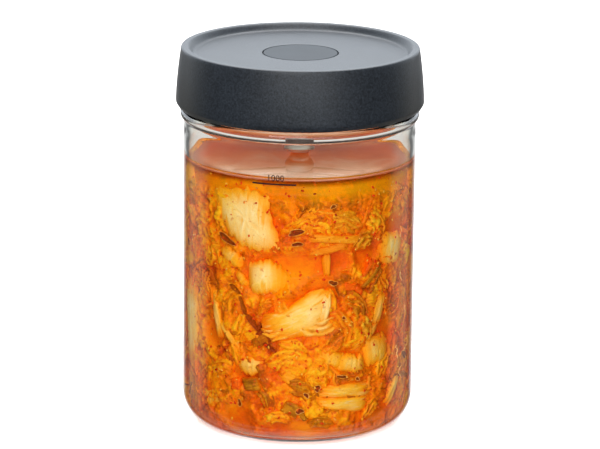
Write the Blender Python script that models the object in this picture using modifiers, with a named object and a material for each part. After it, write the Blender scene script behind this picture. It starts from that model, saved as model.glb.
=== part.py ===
"""Fermentation jar: a clear glass jar full of kimchi, shut by a dished plastic cap.

Units are metres, +Z is up, the front is -Y and the origin is the centre of the base.
Azimuths run from the front towards +X, the right-hand side.
"""
import math
import random

import bmesh
import bpy

MM = 0.001
GAP = 0.3 * MM

# Driving dimensions of the glass jar
BODY_R = 53.8 * MM
WALL = 2.4 * MM
FLOOR_THICK = 4.0 * MM
FOOT_R = 42.2 * MM
FOOT_RISE = 13.3 * MM
INNER_CORNER_R = 9.4 * MM
INNER_CORNER_RISE = 10.5 * MM
SHOULDER_R = 54.0 * MM
SHOULDER_Z = 137.0 * MM
GROOVE_R = 53.5 * MM
GROOVE_Z = 140.8 * MM
CREASE_R = 53.9 * MM
CREASE_Z = 144.0 * MM
BEAD_R = 55.4 * MM
BEAD_TOP_Z = 148.9 * MM
NECK_R = 53.2 * MM

# Driving dimensions of the cap
CAP_BOTTOM_Z = 149.8 * MM
CAP_FOOT_R = 55.9 * MM
CAP_MAX_R = 57.5 * MM
CAP_MAX_Z = 152.4 * MM
CAP_TOP_R = 55.2 * MM
CAP_TOP_Z = 177.7 * MM
CAP_EDGE = 0.8 * MM
BARREL_POWER = 1.6
CREST_WIDTH = 2.6 * MM
DISH_Z = 174.6 * MM
DISH_R = 48.0 * MM
CAP_UNDER_Z = 171.2 * MM
SKIRT_INNER_R = NECK_R + 0.6 * MM

# Driving dimensions of the disc set flush in the cap
DISC_R = 17.2 * MM
DISC_SEAM = 0.35 * MM
DISC_THICK = 1.7 * MM
DISC_EDGE = 0.3 * MM

# Driving dimensions of the valve under the cap
VALVE_POST_R = 6.5 * MM
VALVE_HEAD_TOP_Z = 133.0 * MM
VALVE_FLANGE_R = 7.0 * MM
VALVE_FLANGE_Z = 130.2 * MM
VALVE_TIP_R = 4.8 * MM
VALVE_TIP_Z = 127.2 * MM

# Driving dimensions of the kimchi
HEAP_CORE_R = 45.2 * MM
HEAP_CORE_TOP_Z = 117.5 * MM
HEAP_TOP_Z = 125.4 * MM
HEAP_CLEAR = 0.5 * MM
HEAP_LOW_Z = 6.2 * MM
ROOT_DEPTH = 7.6 * MM
HEAP_SEED = 20
PLACES_TRIED = 30
TOP_PIECES = 9
GOLDEN_TURN = math.radians(137.5)

# Forms of the pieces of food: cuts across and up the face, how round its corners are,
# how far its edge lies behind its middle, and how deep its pleats are
STEM = {"cuts": (2, 2), "roundness": 0.75, "dome": 1.6 * MM, "pleat": 0.0}
LEAF = {"cuts": (5, 1), "roundness": 0.55, "dome": 0.8 * MM, "pleat": 0.8 * MM}
STICK = {"cuts": (0, 1), "roundness": 0.2, "dome": 0.6 * MM, "pleat": 0.0}
CHUNK = {"cuts": (0, 0), "roundness": 0.3, "dome": 0.8 * MM, "pleat": 0.0}

# Fineness of the round pieces
WIDE_STEPS = 48
NARROW_STEPS = 24
CORE_STEPS = 30

INNER_R = BODY_R - WALL
NECK_TOP_Z = CAP_UNDER_Z - GAP


def clear_scene():
    """Remove every object, so that the script starts from an empty scene."""
    for item in list(bpy.data.objects):
        bpy.data.objects.remove(item, do_unlink=True)


def new_collection(name):
    """Make a collection under the scene."""
    collection = bpy.data.collections.new(name)
    bpy.context.scene.collection.children.link(collection)
    return collection


def principled(name, colour, roughness, metallic=0.0, transmission=0.0):
    """Make a plain material from a linear colour and its surface values."""
    material = bpy.data.materials.new(name)
    material.use_nodes = True
    shader = material.node_tree.nodes["Principled BSDF"]
    shader.inputs["Base Color"].default_value = (*colour, 1.0)
    shader.inputs["Roughness"].default_value = roughness
    shader.inputs["Metallic"].default_value = metallic
    shader.inputs["Transmission Weight"].default_value = transmission
    return material


def arc(centre, radii, start, end, count):
    """Points of an elliptical arc in the radius and height plane, between two angles in degrees."""
    points = []
    for step in range(count + 1):
        angle = math.radians(start + (end - start) * step / count)
        points.append((centre[0] + radii[0] * math.cos(angle), centre[1] + radii[1] * math.sin(angle)))
    return points


def turned(name, profile, material, collection, steps=WIDE_STEPS):
    """Turn a profile of radius and height points about the Z axis into a closed solid."""
    mesh = bpy.data.meshes.new(name)
    edges = [(index, index + 1) for index in range(len(profile) - 1)]
    mesh.from_pydata([(radius, 0.0, height) for radius, height in profile], edges, [])
    item = bpy.data.objects.new(name, mesh)
    collection.objects.link(item)
    screw = item.modifiers.new("Turn", "SCREW")
    screw.angle = math.tau
    screw.steps = steps
    screw.render_steps = steps
    screw.use_merge_vertices = True
    screw.merge_threshold = 0.00001
    screw.use_smooth_shade = True
    mesh.materials.append(material)
    return item


def glass_profile():
    """Section of the jar from the middle of its floor, up the inside, over the rim and down."""
    rim = (NECK_R - INNER_R) / 2
    floor_arc = arc((INNER_R - INNER_CORNER_R, FLOOR_THICK + INNER_CORNER_RISE),
                    (INNER_CORNER_R, INNER_CORNER_RISE), -90, 0, 4)
    rim_arc = arc((INNER_R + rim, NECK_TOP_Z - rim), (rim, rim), 180, 0, 3)
    bead_mid = (CREASE_Z + BEAD_TOP_Z) / 2
    bead_arc = arc((NECK_R, bead_mid), (BEAD_R - NECK_R, (BEAD_TOP_Z - CREASE_Z) / 2), 80, -72, 4)
    foot_arc = arc((FOOT_R, FOOT_RISE), (BODY_R - FOOT_R, FOOT_RISE), 0, -90, 5)
    waist = [(CREASE_R, CREASE_Z), (GROOVE_R, GROOVE_Z), (SHOULDER_R, SHOULDER_Z)]
    return ([(0.0, FLOOR_THICK)] + floor_arc + rim_arc + [(NECK_R, BEAD_TOP_Z)]
            + bead_arc + waist + foot_arc + [(0.0, 0.0)])


def cap_profile():
    """Section of the cap from the middle of the disc's seat, over the rim and up inside."""
    seat_z = DISH_Z - DISC_THICK - GAP
    seat_r = DISC_R + DISC_SEAM
    crest_r = CAP_TOP_R - CAP_EDGE - CREST_WIDTH
    slope = []
    for step in range(1, 5):
        share = step / 5
        slope.append((DISH_R + (crest_r - DISH_R) * share, DISH_Z + (CAP_TOP_Z - DISH_Z) * share ** 1.7))
    barrel = []
    for step in range(6):
        share = 1 - step / 5
        drop = (CAP_MAX_R - CAP_TOP_R) * share ** BARREL_POWER
        height = CAP_MAX_Z + (CAP_TOP_Z - CAP_EDGE - CAP_MAX_Z) * share
        barrel.append((CAP_MAX_R - drop, height))
    return ([(0.0, seat_z), (seat_r, seat_z), (seat_r, DISH_Z), (DISH_R, DISH_Z)] + slope
            + [(crest_r, CAP_TOP_Z), (CAP_TOP_R - CAP_EDGE, CAP_TOP_Z)] + barrel
            + [(CAP_FOOT_R, CAP_BOTTOM_Z), (SKIRT_INNER_R, CAP_BOTTOM_Z),
               (SKIRT_INNER_R, CAP_UNDER_Z), (0.0, CAP_UNDER_Z)])


def disc_profile():
    """Section of the flush disc in the middle of the cap."""
    return [(0.0, DISH_Z), (DISC_R - DISC_EDGE, DISH_Z), (DISC_R, DISH_Z - DISC_EDGE),
            (DISC_R, DISH_Z - DISC_THICK), (0.0, DISH_Z - DISC_THICK)]


def valve_post_profile():
    """Section of the dark post that hangs from the cap inside the neck."""
    top = CAP_UNDER_Z - GAP
    bottom = VALVE_HEAD_TOP_Z + GAP
    return [(0.0, top), (VALVE_POST_R, top), (VALVE_POST_R, bottom), (0.0, bottom)]


def valve_head_profile():
    """Section of the steel head: a domed shoulder, a flange and a tip that tapers below it."""
    flange_half = (VALVE_HEAD_TOP_Z - VALVE_FLANGE_Z) / 4
    flange = arc((VALVE_FLANGE_R - flange_half, VALVE_FLANGE_Z), (flange_half, flange_half), 80, -80, 4)
    return ([(0.0, VALVE_HEAD_TOP_Z), (VALVE_POST_R * 0.7, VALVE_HEAD_TOP_Z),
             (VALVE_POST_R * 0.9, VALVE_HEAD_TOP_Z - 1.0 * MM)] + flange
            + [(VALVE_TIP_R + 0.3 * MM, VALVE_TIP_Z + 1.2 * MM), (VALVE_TIP_R, VALVE_TIP_Z + 0.4 * MM),
               (VALVE_TIP_R - 0.4 * MM, VALVE_TIP_Z), (0.0, VALVE_TIP_Z)])


def reach_r(height):
    """Furthest radius that the food may take at a height, just clear of the glass."""
    full = INNER_R - HEAP_CLEAR
    corner_top = FLOOR_THICK + INNER_CORNER_RISE
    if height >= corner_top:
        return full
    share = min(1.0, (corner_top - height) / (INNER_CORNER_RISE - HEAP_CLEAR))
    half_width = INNER_CORNER_R - HEAP_CLEAR
    return full - half_width + half_width * math.sqrt(1.0 - share * share)


def heap_core_profile():
    """Section of the mass of food behind the pieces that show."""
    low = FLOOR_THICK + HEAP_CLEAR
    corner = HEAP_CORE_R - 8 * MM
    return [(0.0, HEAP_CORE_TOP_Z), (HEAP_CORE_R - 3 * MM, HEAP_CORE_TOP_Z),
            (HEAP_CORE_R, HEAP_CORE_TOP_Z - 3 * MM), (HEAP_CORE_R, low + 7 * MM),
            (HEAP_CORE_R - 2.5 * MM, low + 2.5 * MM), (corner, low), (0.0, low)]


def evaluated_copy(item):
    """The mesh of an object as its modifiers leave it."""
    graph = bpy.context.evaluated_depsgraph_get()
    return bpy.data.meshes.new_from_object(item.evaluated_get(graph))


def panel(name, cuts_across, cuts_up):
    """A unit block whose front and back are a grid of faces, ready to be shaped."""
    mesh = bpy.data.meshes.new(name)
    block = bmesh.new()
    bmesh.ops.create_cube(block, size=2.0)
    for axis, cuts in ((0, cuts_across), (1, cuts_up)):
        along = [edge for edge in block.edges
                 if abs(edge.verts[0].co[axis] - edge.verts[1].co[axis]) > 1.0]
        if cuts:
            bmesh.ops.subdivide_edges(block, edges=along, cuts=cuts, use_grid_fill=True)
    block.to_mesh(mesh)
    block.free()
    return mesh


def rounded(across, up, roundness):
    """Pull a unit square's corners in towards a circle, by a share from 0 to 1."""
    round_across = across * math.sqrt(1 - up * up / 2)
    round_up = up * math.sqrt(1 - across * across / 2)
    return (across + (round_across - across) * roundness, up + (round_up - up) * roundness)


class Heap:
    """The pieces of food that are joined on to the core, and the places that they take."""

    def __init__(self, collection):
        self.collection = collection
        self.taken = []
        self.draw = random.Random(HEAP_SEED)

    def add(self, name, mesh):
        """Put a shaped mesh among the pieces."""
        self.collection.objects.link(bpy.data.objects.new(name, mesh))

    def on_wall(self, name, form, azimuth, height, width, length, turn):
        """A piece that faces the glass and runs back into the core.

        azimuth is in degrees and turn is its lean in degrees, to the left from upright.
        """
        mesh = panel(name, *form["cuts"])
        lean = math.radians(turn)
        pleats = form["cuts"][0] + 1
        for vertex in mesh.vertices:
            across, up, side = vertex.co
            if side > 0:
                fold = 1 + math.cos(math.pi * pleats * (across + 1) / 2)
                behind = form["dome"] * (across * across + up * up) / 2 + form["pleat"] * fold
            else:
                behind = ROOT_DEPTH
            flat_across, flat_up = rounded(across, up, form["roundness"])
            flat_across *= width / 2
            flat_up *= length / 2
            around = flat_across * math.cos(lean) - flat_up * math.sin(lean)
            rise = flat_across * math.sin(lean) + flat_up * math.cos(lean)
            level = min(max(height + rise, HEAP_LOW_Z), HEAP_TOP_Z)
            radius = reach_r(level) - behind
            angle = math.radians(azimuth) + around / INNER_R
            vertex.co = (radius * math.sin(angle), -radius * math.cos(angle), level)
        self.add(name, mesh)
        self.taken.append((azimuth, height, math.sqrt(width * length) / 2))

    def on_top(self, name, across_to, deep_to, width, length, turn, rise):
        """A piece that lies on top of the core, just under the brine."""
        mesh = panel(name, 2, 1)
        lean = math.radians(turn)
        for vertex in mesh.vertices:
            across, up, side = vertex.co
            flat_across, flat_up = rounded(across, up, STEM["roundness"])
            flat_across *= width / 2
            flat_up *= length / 2
            crown = rise * (1 - (across * across + up * up) / 3)
            vertex.co = (across_to + flat_across * math.cos(lean) - flat_up * math.sin(lean),
                         deep_to + flat_across * math.sin(lean) + flat_up * math.cos(lean),
                         HEAP_CORE_TOP_Z + (crown if side > 0 else -2.0 * MM))
        self.add(name, mesh)

    def free_place(self, span):
        """Of a few drawn places on the wall, the one that is clearest of the pieces so far."""
        best = None
        for _ in range(PLACES_TRIED):
            azimuth = self.draw.uniform(-180.0, 180.0)
            height = self.draw.uniform(HEAP_LOW_Z + span / 4, HEAP_TOP_Z - span / 2)
            clear = 1.0
            for other_azimuth, other_height, other_reach in self.taken:
                apart = (azimuth - other_azimuth + 180.0) % 360.0 - 180.0
                away = math.hypot(math.radians(apart) * INNER_R, height - other_height)
                clear = min(clear, away - other_reach)
            if best is None or clear > best[0]:
                best = (clear, azimuth, height)
        return best[1], best[2]

    def spread(self, kind, form, count, widths, lengths, lean):
        """Spread pieces of one kind round the wall, each in a clear place."""
        for number in range(count):
            width = self.draw.uniform(*widths) * MM
            length = self.draw.uniform(*lengths) * MM
            azimuth, height = self.free_place(max(width, length))
            self.on_wall(f"{kind}_{number}", form, azimuth, height, width, length,
                         self.draw.uniform(-lean, lean))


def add_shown_pieces(heap):
    """The pieces that show at the front of the jar, each in its own place."""
    heap.on_wall("heart_stem", STEM, -27, 105.5 * MM, 29 * MM, 28 * MM, 12)
    heap.on_wall("yellow_slab", STICK, 19, 98 * MM, 29 * MM, 8 * MM, 4)
    heap.on_wall("ribbed_leaf", LEAF, 7, 112 * MM, 28 * MM, 17 * MM, -8)
    heap.on_wall("green_white_block", STEM, 52, 91 * MM, 14 * MM, 18 * MM, -10)
    heap.on_wall("pale_stem", STEM, -18, 80 * MM, 17 * MM, 14 * MM, -20)
    heap.on_wall("folded_cabbage", STEM, 1, 62 * MM, 36 * MM, 23 * MM, 24)
    heap.on_wall("olive_leaf", LEAF, 43, 78 * MM, 12 * MM, 20 * MM, -30)
    heap.on_wall("brown_leaf", LEAF, -24, 51 * MM, 18 * MM, 13 * MM, 10)
    heap.on_wall("yellow_leaf", LEAF, -24, 37 * MM, 15 * MM, 13 * MM, 30)
    heap.on_wall("carrot_cube", CHUNK, -34, 25.5 * MM, 6.5 * MM, 6 * MM, 8)
    heap.on_wall("olive_cube", CHUNK, -24.5, 26 * MM, 9 * MM, 7 * MM, -12)
    heap.on_wall("round_stem", STEM, 39.5, 45 * MM, 14 * MM, 15 * MM, 0)
    heap.on_wall("beige_oval", CHUNK, 29, 33 * MM, 9 * MM, 7 * MM, -20)
    heap.on_wall("yellow_chunk", CHUNK, 18, 41 * MM, 14 * MM, 10 * MM, 15)
    heap.on_wall("layered_stem", STEM, 26, 20 * MM, 25 * MM, 12 * MM, -8)
    heap.on_wall("pale_strip", STICK, 57, 24 * MM, 6 * MM, 20 * MM, -18)
    heap.on_wall("left_strip", STICK, -62, 44 * MM, 6 * MM, 30 * MM, 4)
    heap.on_wall("green_stalk", CHUNK, -3, 14 * MM, 12 * MM, 7 * MM, 30)
    heap.on_wall("curled_leaf", LEAF, -46, 46 * MM, 15 * MM, 17 * MM, -25)
    heap.on_wall("right_leaf", LEAF, 44, 108 * MM, 20 * MM, 15 * MM, 12)
    heap.on_wall("left_leaf", LEAF, -50, 88 * MM, 17 * MM, 24 * MM, -14)
    heap.on_wall("low_leaf", LEAF, -8, 30 * MM, 18 * MM, 14 * MM, -16)


def add_spread_pieces(heap):
    """The pieces round the rest of the wall and on top, the largest first."""
    heap.spread("stem", STEM, 13, (22, 32), (18, 27), 50)
    heap.spread("leaf", LEAF, 24, (16, 24), (13, 19), 70)
    heap.spread("stick", STICK, 16, (4, 6), (15, 24), 80)
    heap.spread("chunk", CHUNK, 26, (6, 10), (5, 9), 80)
    for number in range(TOP_PIECES):
        turn = number * GOLDEN_TURN
        out = (HEAP_CORE_R - 12 * MM) * math.sqrt((number + 0.5) / TOP_PIECES)
        heap.on_top(f"top_{number}", out * math.cos(turn), out * math.sin(turn),
                    heap.draw.uniform(17, 24) * MM, heap.draw.uniform(13, 19) * MM,
                    heap.draw.uniform(0, 180), heap.draw.uniform(4.0, 6.5) * MM)


def largest_body(mesh):
    """Keep the largest connected body of a mesh and drop loose scraps and sealed hollows."""
    shape = bmesh.new()
    shape.from_mesh(mesh)
    bmesh.ops.triangulate(shape, faces=shape.faces)
    left = set(shape.faces)
    bodies = []
    while left:
        body = {left.pop()}
        edge_of_body = list(body)
        while edge_of_body:
            face = edge_of_body.pop()
            for edge in face.edges:
                for other in edge.link_faces:
                    if other in left:
                        left.remove(other)
                        body.add(other)
                        edge_of_body.append(other)
        bodies.append(body)
    bodies.sort(key=len, reverse=True)
    scraps = [face for body in bodies[1:] for face in body]
    bmesh.ops.delete(shape, geom=scraps, context="FACES")
    loose = [vertex for vertex in shape.verts if not vertex.link_faces]
    bmesh.ops.delete(shape, geom=loose, context="VERTS")
    shape.to_mesh(mesh)
    shape.free()


def build_kimchi(material, collection):
    """The heap of kimchi: a core with the pieces that show joined on to it."""
    loose = new_collection("kimchi_pieces")
    outline = turned("kimchi_outline", heap_core_profile(), material, loose, steps=CORE_STEPS)
    core_mesh = evaluated_copy(outline)
    bpy.data.objects.remove(outline, do_unlink=True)
    kimchi = bpy.data.objects.new("kimchi", core_mesh)
    collection.objects.link(kimchi)
    heap = Heap(loose)
    add_shown_pieces(heap)
    add_spread_pieces(heap)
    join = kimchi.modifiers.new("Join", "BOOLEAN")
    join.operation = "UNION"
    join.operand_type = "COLLECTION"
    join.collection = loose
    join.solver = "EXACT"
    joined = evaluated_copy(kimchi)
    kimchi.modifiers.remove(join)
    largest_body(joined)
    joined.materials.clear()
    joined.materials.append(material)
    kimchi.data = joined
    for item in list(loose.objects):
        bpy.data.objects.remove(item, do_unlink=True)
    bpy.data.collections.remove(loose)
    return kimchi


def build_jar():
    """Build every piece of the jar, each in its own object."""
    clear_scene()
    jar = new_collection("fermentation_jar")
    glass = principled("clear_glass", (0.92, 0.95, 0.94), 0.02, transmission=1.0)
    soft_black = principled("soft_black_plastic", (0.035, 0.038, 0.045), 0.55)
    soft_grey = principled("soft_grey_plastic", (0.05, 0.055, 0.062), 0.5)
    steel = principled("stainless_steel", (0.62, 0.6, 0.57), 0.25, metallic=1.0)
    food = principled("kimchi", (0.85, 0.32, 0.05), 0.35)
    turned("jar_glass", glass_profile(), glass, jar)
    turned("cap", cap_profile(), soft_black, jar)
    turned("cap_disc", disc_profile(), soft_grey, jar)
    turned("valve_post", valve_post_profile(), soft_black, jar, steps=NARROW_STEPS)
    turned("valve_head", valve_head_profile(), steel, jar, steps=NARROW_STEPS)
    build_kimchi(food, jar)


build_jar()
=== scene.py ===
"""Looks of a fermentation jar: clear glass, a dished cap, a valve, brine and kimchi in a studio.

Lengths are metres, +Z is up, the front of the jar is -Y, and azimuths run from the front
towards +X, the right-hand side of the picture.
"""
from __future__ import annotations

import logging
import math
import random
from dataclasses import dataclass, field
from enum import Enum
from typing import Any, Callable, Mapping, Sequence

import bmesh
import bpy
from mathutils import Matrix, Vector, noise


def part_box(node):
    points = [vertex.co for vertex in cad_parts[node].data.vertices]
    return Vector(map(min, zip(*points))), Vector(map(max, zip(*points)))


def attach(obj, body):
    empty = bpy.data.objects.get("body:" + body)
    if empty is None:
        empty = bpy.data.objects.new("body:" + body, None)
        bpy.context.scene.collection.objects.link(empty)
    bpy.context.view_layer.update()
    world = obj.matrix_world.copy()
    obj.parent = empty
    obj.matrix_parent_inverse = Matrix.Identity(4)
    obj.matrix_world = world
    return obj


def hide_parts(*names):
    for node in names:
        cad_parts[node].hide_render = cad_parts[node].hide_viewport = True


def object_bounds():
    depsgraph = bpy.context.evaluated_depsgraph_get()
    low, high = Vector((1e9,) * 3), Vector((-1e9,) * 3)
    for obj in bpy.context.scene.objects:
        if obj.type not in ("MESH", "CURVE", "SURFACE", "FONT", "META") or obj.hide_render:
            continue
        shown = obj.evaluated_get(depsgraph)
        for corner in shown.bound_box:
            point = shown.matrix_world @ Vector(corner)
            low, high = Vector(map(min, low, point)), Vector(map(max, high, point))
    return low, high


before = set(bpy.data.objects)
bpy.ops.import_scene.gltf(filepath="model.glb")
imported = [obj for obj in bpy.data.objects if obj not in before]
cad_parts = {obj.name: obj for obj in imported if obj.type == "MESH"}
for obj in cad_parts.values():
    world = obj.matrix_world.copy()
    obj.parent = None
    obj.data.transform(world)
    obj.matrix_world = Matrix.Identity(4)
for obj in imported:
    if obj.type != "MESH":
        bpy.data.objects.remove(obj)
CAD_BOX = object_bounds()

MM = 0.001
SAME_PLACE = 0.0001 * MM  # points of a profile that are closer than this are one point
LOG = logging.getLogger("fermentation_jar")

Point = tuple[float, float]
Colour = tuple[float, float, float, float]
Stops = Sequence[tuple[float, str]]


class Slot(Enum):
    """The record's material slots."""

    GLASS = "jar_glass"
    CAP = "cap_plastic"
    DISC = "disc_plastic"
    POST = "post_plastic"
    STEEL = "valve_steel"
    FOOD = "kimchi"


def linear(code: str) -> Colour:
    """Turn an sRGB hex code into the linear colour that a shader takes.

    Args:
        code: Six hex digits.

    Returns:
        Linear red, green and blue, and an alpha of one.
    """
    channels = []
    for start in (0, 2, 4):
        value = int(code[start:start + 2], 16) / 255
        channels.append(value / 12.92 if value <= 0.04045 else ((value + 0.055) / 1.055) ** 2.4)
    return channels[0], channels[1], channels[2], 1.0


def add_node(tree: bpy.types.NodeTree, kind: str, settings: Mapping[str, Any] | None = None,
             inputs: Mapping[str | int, Any] | None = None) -> bpy.types.Node:
    """Add a node with its settings and links.

    Args:
        tree: The tree that takes the node.
        kind: The node's type.
        settings: Properties to set. "stops" fills a colour ramp with (place, hex code) pairs.
        inputs: Values by input name or place. A socket is linked and anything else is set.

    Returns:
        The node.
    """
    node = tree.nodes.new(kind)
    for name, value in (settings or {}).items():
        if name == "stops":
            ramp = node.color_ramp
            while len(ramp.elements) < len(value):
                ramp.elements.new(0.5)
            for element, (place, code) in zip(ramp.elements, value):
                element.position = place
                element.color = linear(code)
        else:
            setattr(node, name, value)
    for name, value in (inputs or {}).items():
        if isinstance(value, bpy.types.NodeSocket):
            tree.links.new(value, node.inputs[name])
        else:
            node.inputs[name].default_value = value
    return node


def new_material(name: str) -> tuple[bpy.types.Material, bpy.types.NodeTree, bpy.types.Node]:
    """Start a node material.

    Args:
        name: The material's name.

    Returns:
        The material, its tree and its output node.
    """
    material = bpy.data.materials.new(name)
    material.use_nodes = True
    tree = material.node_tree
    tree.nodes.clear()
    return material, tree, add_node(tree, "ShaderNodeOutputMaterial")


def place_in_mm(tree: bpy.types.NodeTree) -> bpy.types.NodeSocket:
    """The place on the piece in millimetres, which every pattern is scaled from."""
    coords = add_node(tree, "ShaderNodeTexCoord")
    return add_node(tree, "ShaderNodeVectorMath", {"operation": "SCALE"},
                    {0: coords.outputs["Object"], "Scale": 1 / MM}).outputs[0]


def from_axis(tree: bpy.types.NodeTree, place: bpy.types.NodeSocket) -> tuple[Any, bpy.types.NodeSocket]:
    """Split a place into its parts, and work out how far it lies from the jar's axis.

    Args:
        tree: The tree that takes the nodes.
        place: The place.

    Returns:
        The outputs for its three parts, and the distance.
    """
    split = add_node(tree, "ShaderNodeSeparateXYZ", None, {0: place}).outputs
    flat = add_node(tree, "ShaderNodeCombineXYZ", None, {0: split[0], 1: split[1]})
    away = add_node(tree, "ShaderNodeVectorMath", {"operation": "LENGTH"}, {0: flat.outputs[0]})
    return split, away.outputs["Value"]


def let_light_in(tree: bpy.types.NodeTree, surface: bpy.types.NodeSocket) -> bpy.types.NodeSocket:
    """Let light reach what lies behind a clear surface without the noise of caustics.

    Args:
        tree: The material's tree.
        surface: The clear shader that the eye sees.

    Returns:
        The shader that is clear to shadow rays and to bounced light.
    """
    path = add_node(tree, "ShaderNodeLightPath")
    open_way = add_node(tree, "ShaderNodeBsdfTransparent")
    lit = add_node(tree, "ShaderNodeMixShader", None,
                   {0: path.outputs["Is Shadow Ray"], 1: surface, 2: open_way.outputs[0]})
    both = add_node(tree, "ShaderNodeMixShader", None,
                    {0: path.outputs["Is Diffuse Ray"], 1: lit.outputs[0], 2: open_way.outputs[0]})
    return both.outputs[0]


@dataclass(frozen=True)
class ClearBody:
    """Clear glass or liquid: smooth, with long shallow waves that bend its mirror images a little."""

    name: str
    ior: float
    tint: str
    wave_mm: float
    wave_depth: float
    wave_detail: float

    def material(self) -> bpy.types.Material:
        """Build the clear body."""
        made, tree, out = new_material(self.name)
        place = place_in_mm(tree)
        waves = add_node(tree, "ShaderNodeTexNoise", None,
                         {"Vector": place, "Scale": 1 / self.wave_mm, "Detail": self.wave_detail})
        bump = add_node(tree, "ShaderNodeBump", None,
                        {"Strength": self.wave_depth, "Distance": MM, "Height": waves.outputs[0]})
        clear = add_node(tree, "ShaderNodeBsdfPrincipled", None,
                         {"Base Color": linear(self.tint), "Roughness": 0.0, "IOR": self.ior,
                          "Transmission Weight": 1.0, "Normal": bump.outputs[0]})
        tree.links.new(let_light_in(tree, clear.outputs[0]), out.inputs["Surface"])
        return made


# Soda-lime glass, blown and fire-polished, gives sharp mirror images that waver slowly, and a
# trace of green where it is thick.
GLASS = ClearBody("soda_lime_glass_fire_polished", ior=1.5, tint="fbfefc", wave_mm=38.0, wave_depth=0.012,
                  wave_detail=1.0)
# Still pickling brine is as clear as water, warmed by chilli oil, and a faint ripple breaks its mirror.
BRINE = ClearBody("pickling_brine_still", ior=1.345, tint="fff3e2", wave_mm=9.0, wave_depth=0.002,
                  wave_detail=2.0)


@dataclass(frozen=True)
class MouldedPlastic:
    """Polypropylene or silicone moulded in a textured tool: matte, with a fine pale speckle.

    A spark-eroded tool's grit is about 0.1 mm wide, drawn coarser so that it shows.
    """

    name: str
    dark: str
    light: str
    roughness: float = 0.5
    specular: float = 0.5
    grit_mm: float = 0.5
    grit_depth: float = 0.12
    cloud_mm: float = 22.0

    def material(self) -> bpy.types.Material:
        """Build the plastic, with its grit and slow clouds of wear in its tone."""
        made, tree, out = new_material(self.name)
        place = place_in_mm(tree)
        grit = add_node(tree, "ShaderNodeTexNoise", None,
                        {"Vector": place, "Scale": 1 / self.grit_mm, "Detail": 3.0, "Roughness": 0.7})
        cloud = add_node(tree, "ShaderNodeTexNoise", None,
                         {"Vector": place, "Scale": 1 / self.cloud_mm, "Detail": 2.0})
        blend = add_node(tree, "ShaderNodeMath", {"operation": "MULTIPLY_ADD"},
                         {0: cloud.outputs[0], 1: 0.25, 2: grit.outputs[0]})
        colour = add_node(tree, "ShaderNodeValToRGB",
                          {"stops": ((0.45, self.dark), (0.85, self.light))}, {0: blend.outputs[0]})
        rough = add_node(tree, "ShaderNodeMapRange", None,
                         {0: grit.outputs[0], 3: self.roughness - 0.06, 4: self.roughness + 0.08})
        bump = add_node(tree, "ShaderNodeBump", None,
                        {"Strength": self.grit_depth, "Distance": 0.2 * MM, "Height": grit.outputs[0]})
        plastic = add_node(tree, "ShaderNodeBsdfPrincipled", None,
                           {"Base Color": colour.outputs[0], "Roughness": rough.outputs[0],
                            "Specular IOR Level": self.specular, "Normal": bump.outputs[0]})
        tree.links.new(plastic.outputs[0], out.inputs["Surface"])
        return made


@dataclass(frozen=True)
class TurnedSteel:
    """Stainless steel turned on a lathe and polished: fine rings run round it.

    Real turning marks are about 0.05 mm apart, drawn coarser so that they show.
    """

    colour: str = "dcd6cc"
    roughness: float = 0.34
    ring_mm: float = 0.35

    def material(self) -> bpy.types.Material:
        """Build the steel, with rings across the axis and a little uneven roughness."""
        made, tree, out = new_material("stainless_steel_turned")
        place = place_in_mm(tree)
        stretched = add_node(tree, "ShaderNodeMapping", None,
                             {"Vector": place, "Scale": (0.05, 0.05, 1 / self.ring_mm)})
        rings = add_node(tree, "ShaderNodeTexNoise", None, {"Vector": stretched.outputs[0], "Scale": 1.0})
        rough = add_node(tree, "ShaderNodeMapRange", None,
                         {0: rings.outputs[0], 3: self.roughness - 0.06, 4: self.roughness + 0.12})
        bump = add_node(tree, "ShaderNodeBump", None,
                        {"Strength": 0.15, "Distance": 0.1 * MM, "Height": rings.outputs[0]})
        steel = add_node(tree, "ShaderNodeBsdfPrincipled", None,
                         {"Base Color": linear(self.colour), "Metallic": 1.0,
                          "Roughness": rough.outputs[0], "Normal": bump.outputs[0]})
        tree.links.new(steel.outputs[0], out.inputs["Surface"])
        return made


@dataclass(frozen=True)
class ScreenInk:
    """Ceramic ink screen-printed on glass and fired: dense, slightly uneven and satin."""

    colour: str = "2a130c"

    def material(self) -> bpy.types.Material:
        """Build the ink, with the faint mottle of a screen's mesh."""
        made, tree, out = new_material("ceramic_ink_screen_printed")
        place = place_in_mm(tree)
        mottle = add_node(tree, "ShaderNodeTexNoise", None, {"Vector": place, "Scale": 3.0})
        colour = add_node(tree, "ShaderNodeValToRGB",
                          {"stops": ((0.3, self.colour), (0.8, "40221a"))}, {0: mottle.outputs[0]})
        ink = add_node(tree, "ShaderNodeBsdfPrincipled", None,
                       {"Base Color": colour.outputs[0], "Roughness": 0.6, "Specular IOR Level": 0.2})
        tree.links.new(ink.outputs[0], out.inputs["Surface"])
        return made


@dataclass(frozen=True)
class StudioPaper:
    """Seamless background paper: matte and nearly white, with a barely seen tooth."""

    colour: str = "fdfdfd"

    def material(self) -> bpy.types.Material:
        """Build the paper."""
        made, tree, out = new_material("background_paper_matte")
        place = place_in_mm(tree)
        tooth = add_node(tree, "ShaderNodeTexNoise", None, {"Vector": place, "Scale": 0.6})
        bump = add_node(tree, "ShaderNodeBump", None,
                        {"Strength": 0.02, "Distance": 0.1 * MM, "Height": tooth.outputs[0]})
        paper = add_node(tree, "ShaderNodeBsdfPrincipled", None,
                         {"Base Color": linear(self.colour), "Roughness": 0.9,
                          "Specular IOR Level": 0.1, "Normal": bump.outputs[0]})
        tree.links.new(paper.outputs[0], out.inputs["Surface"])
        return made


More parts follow.
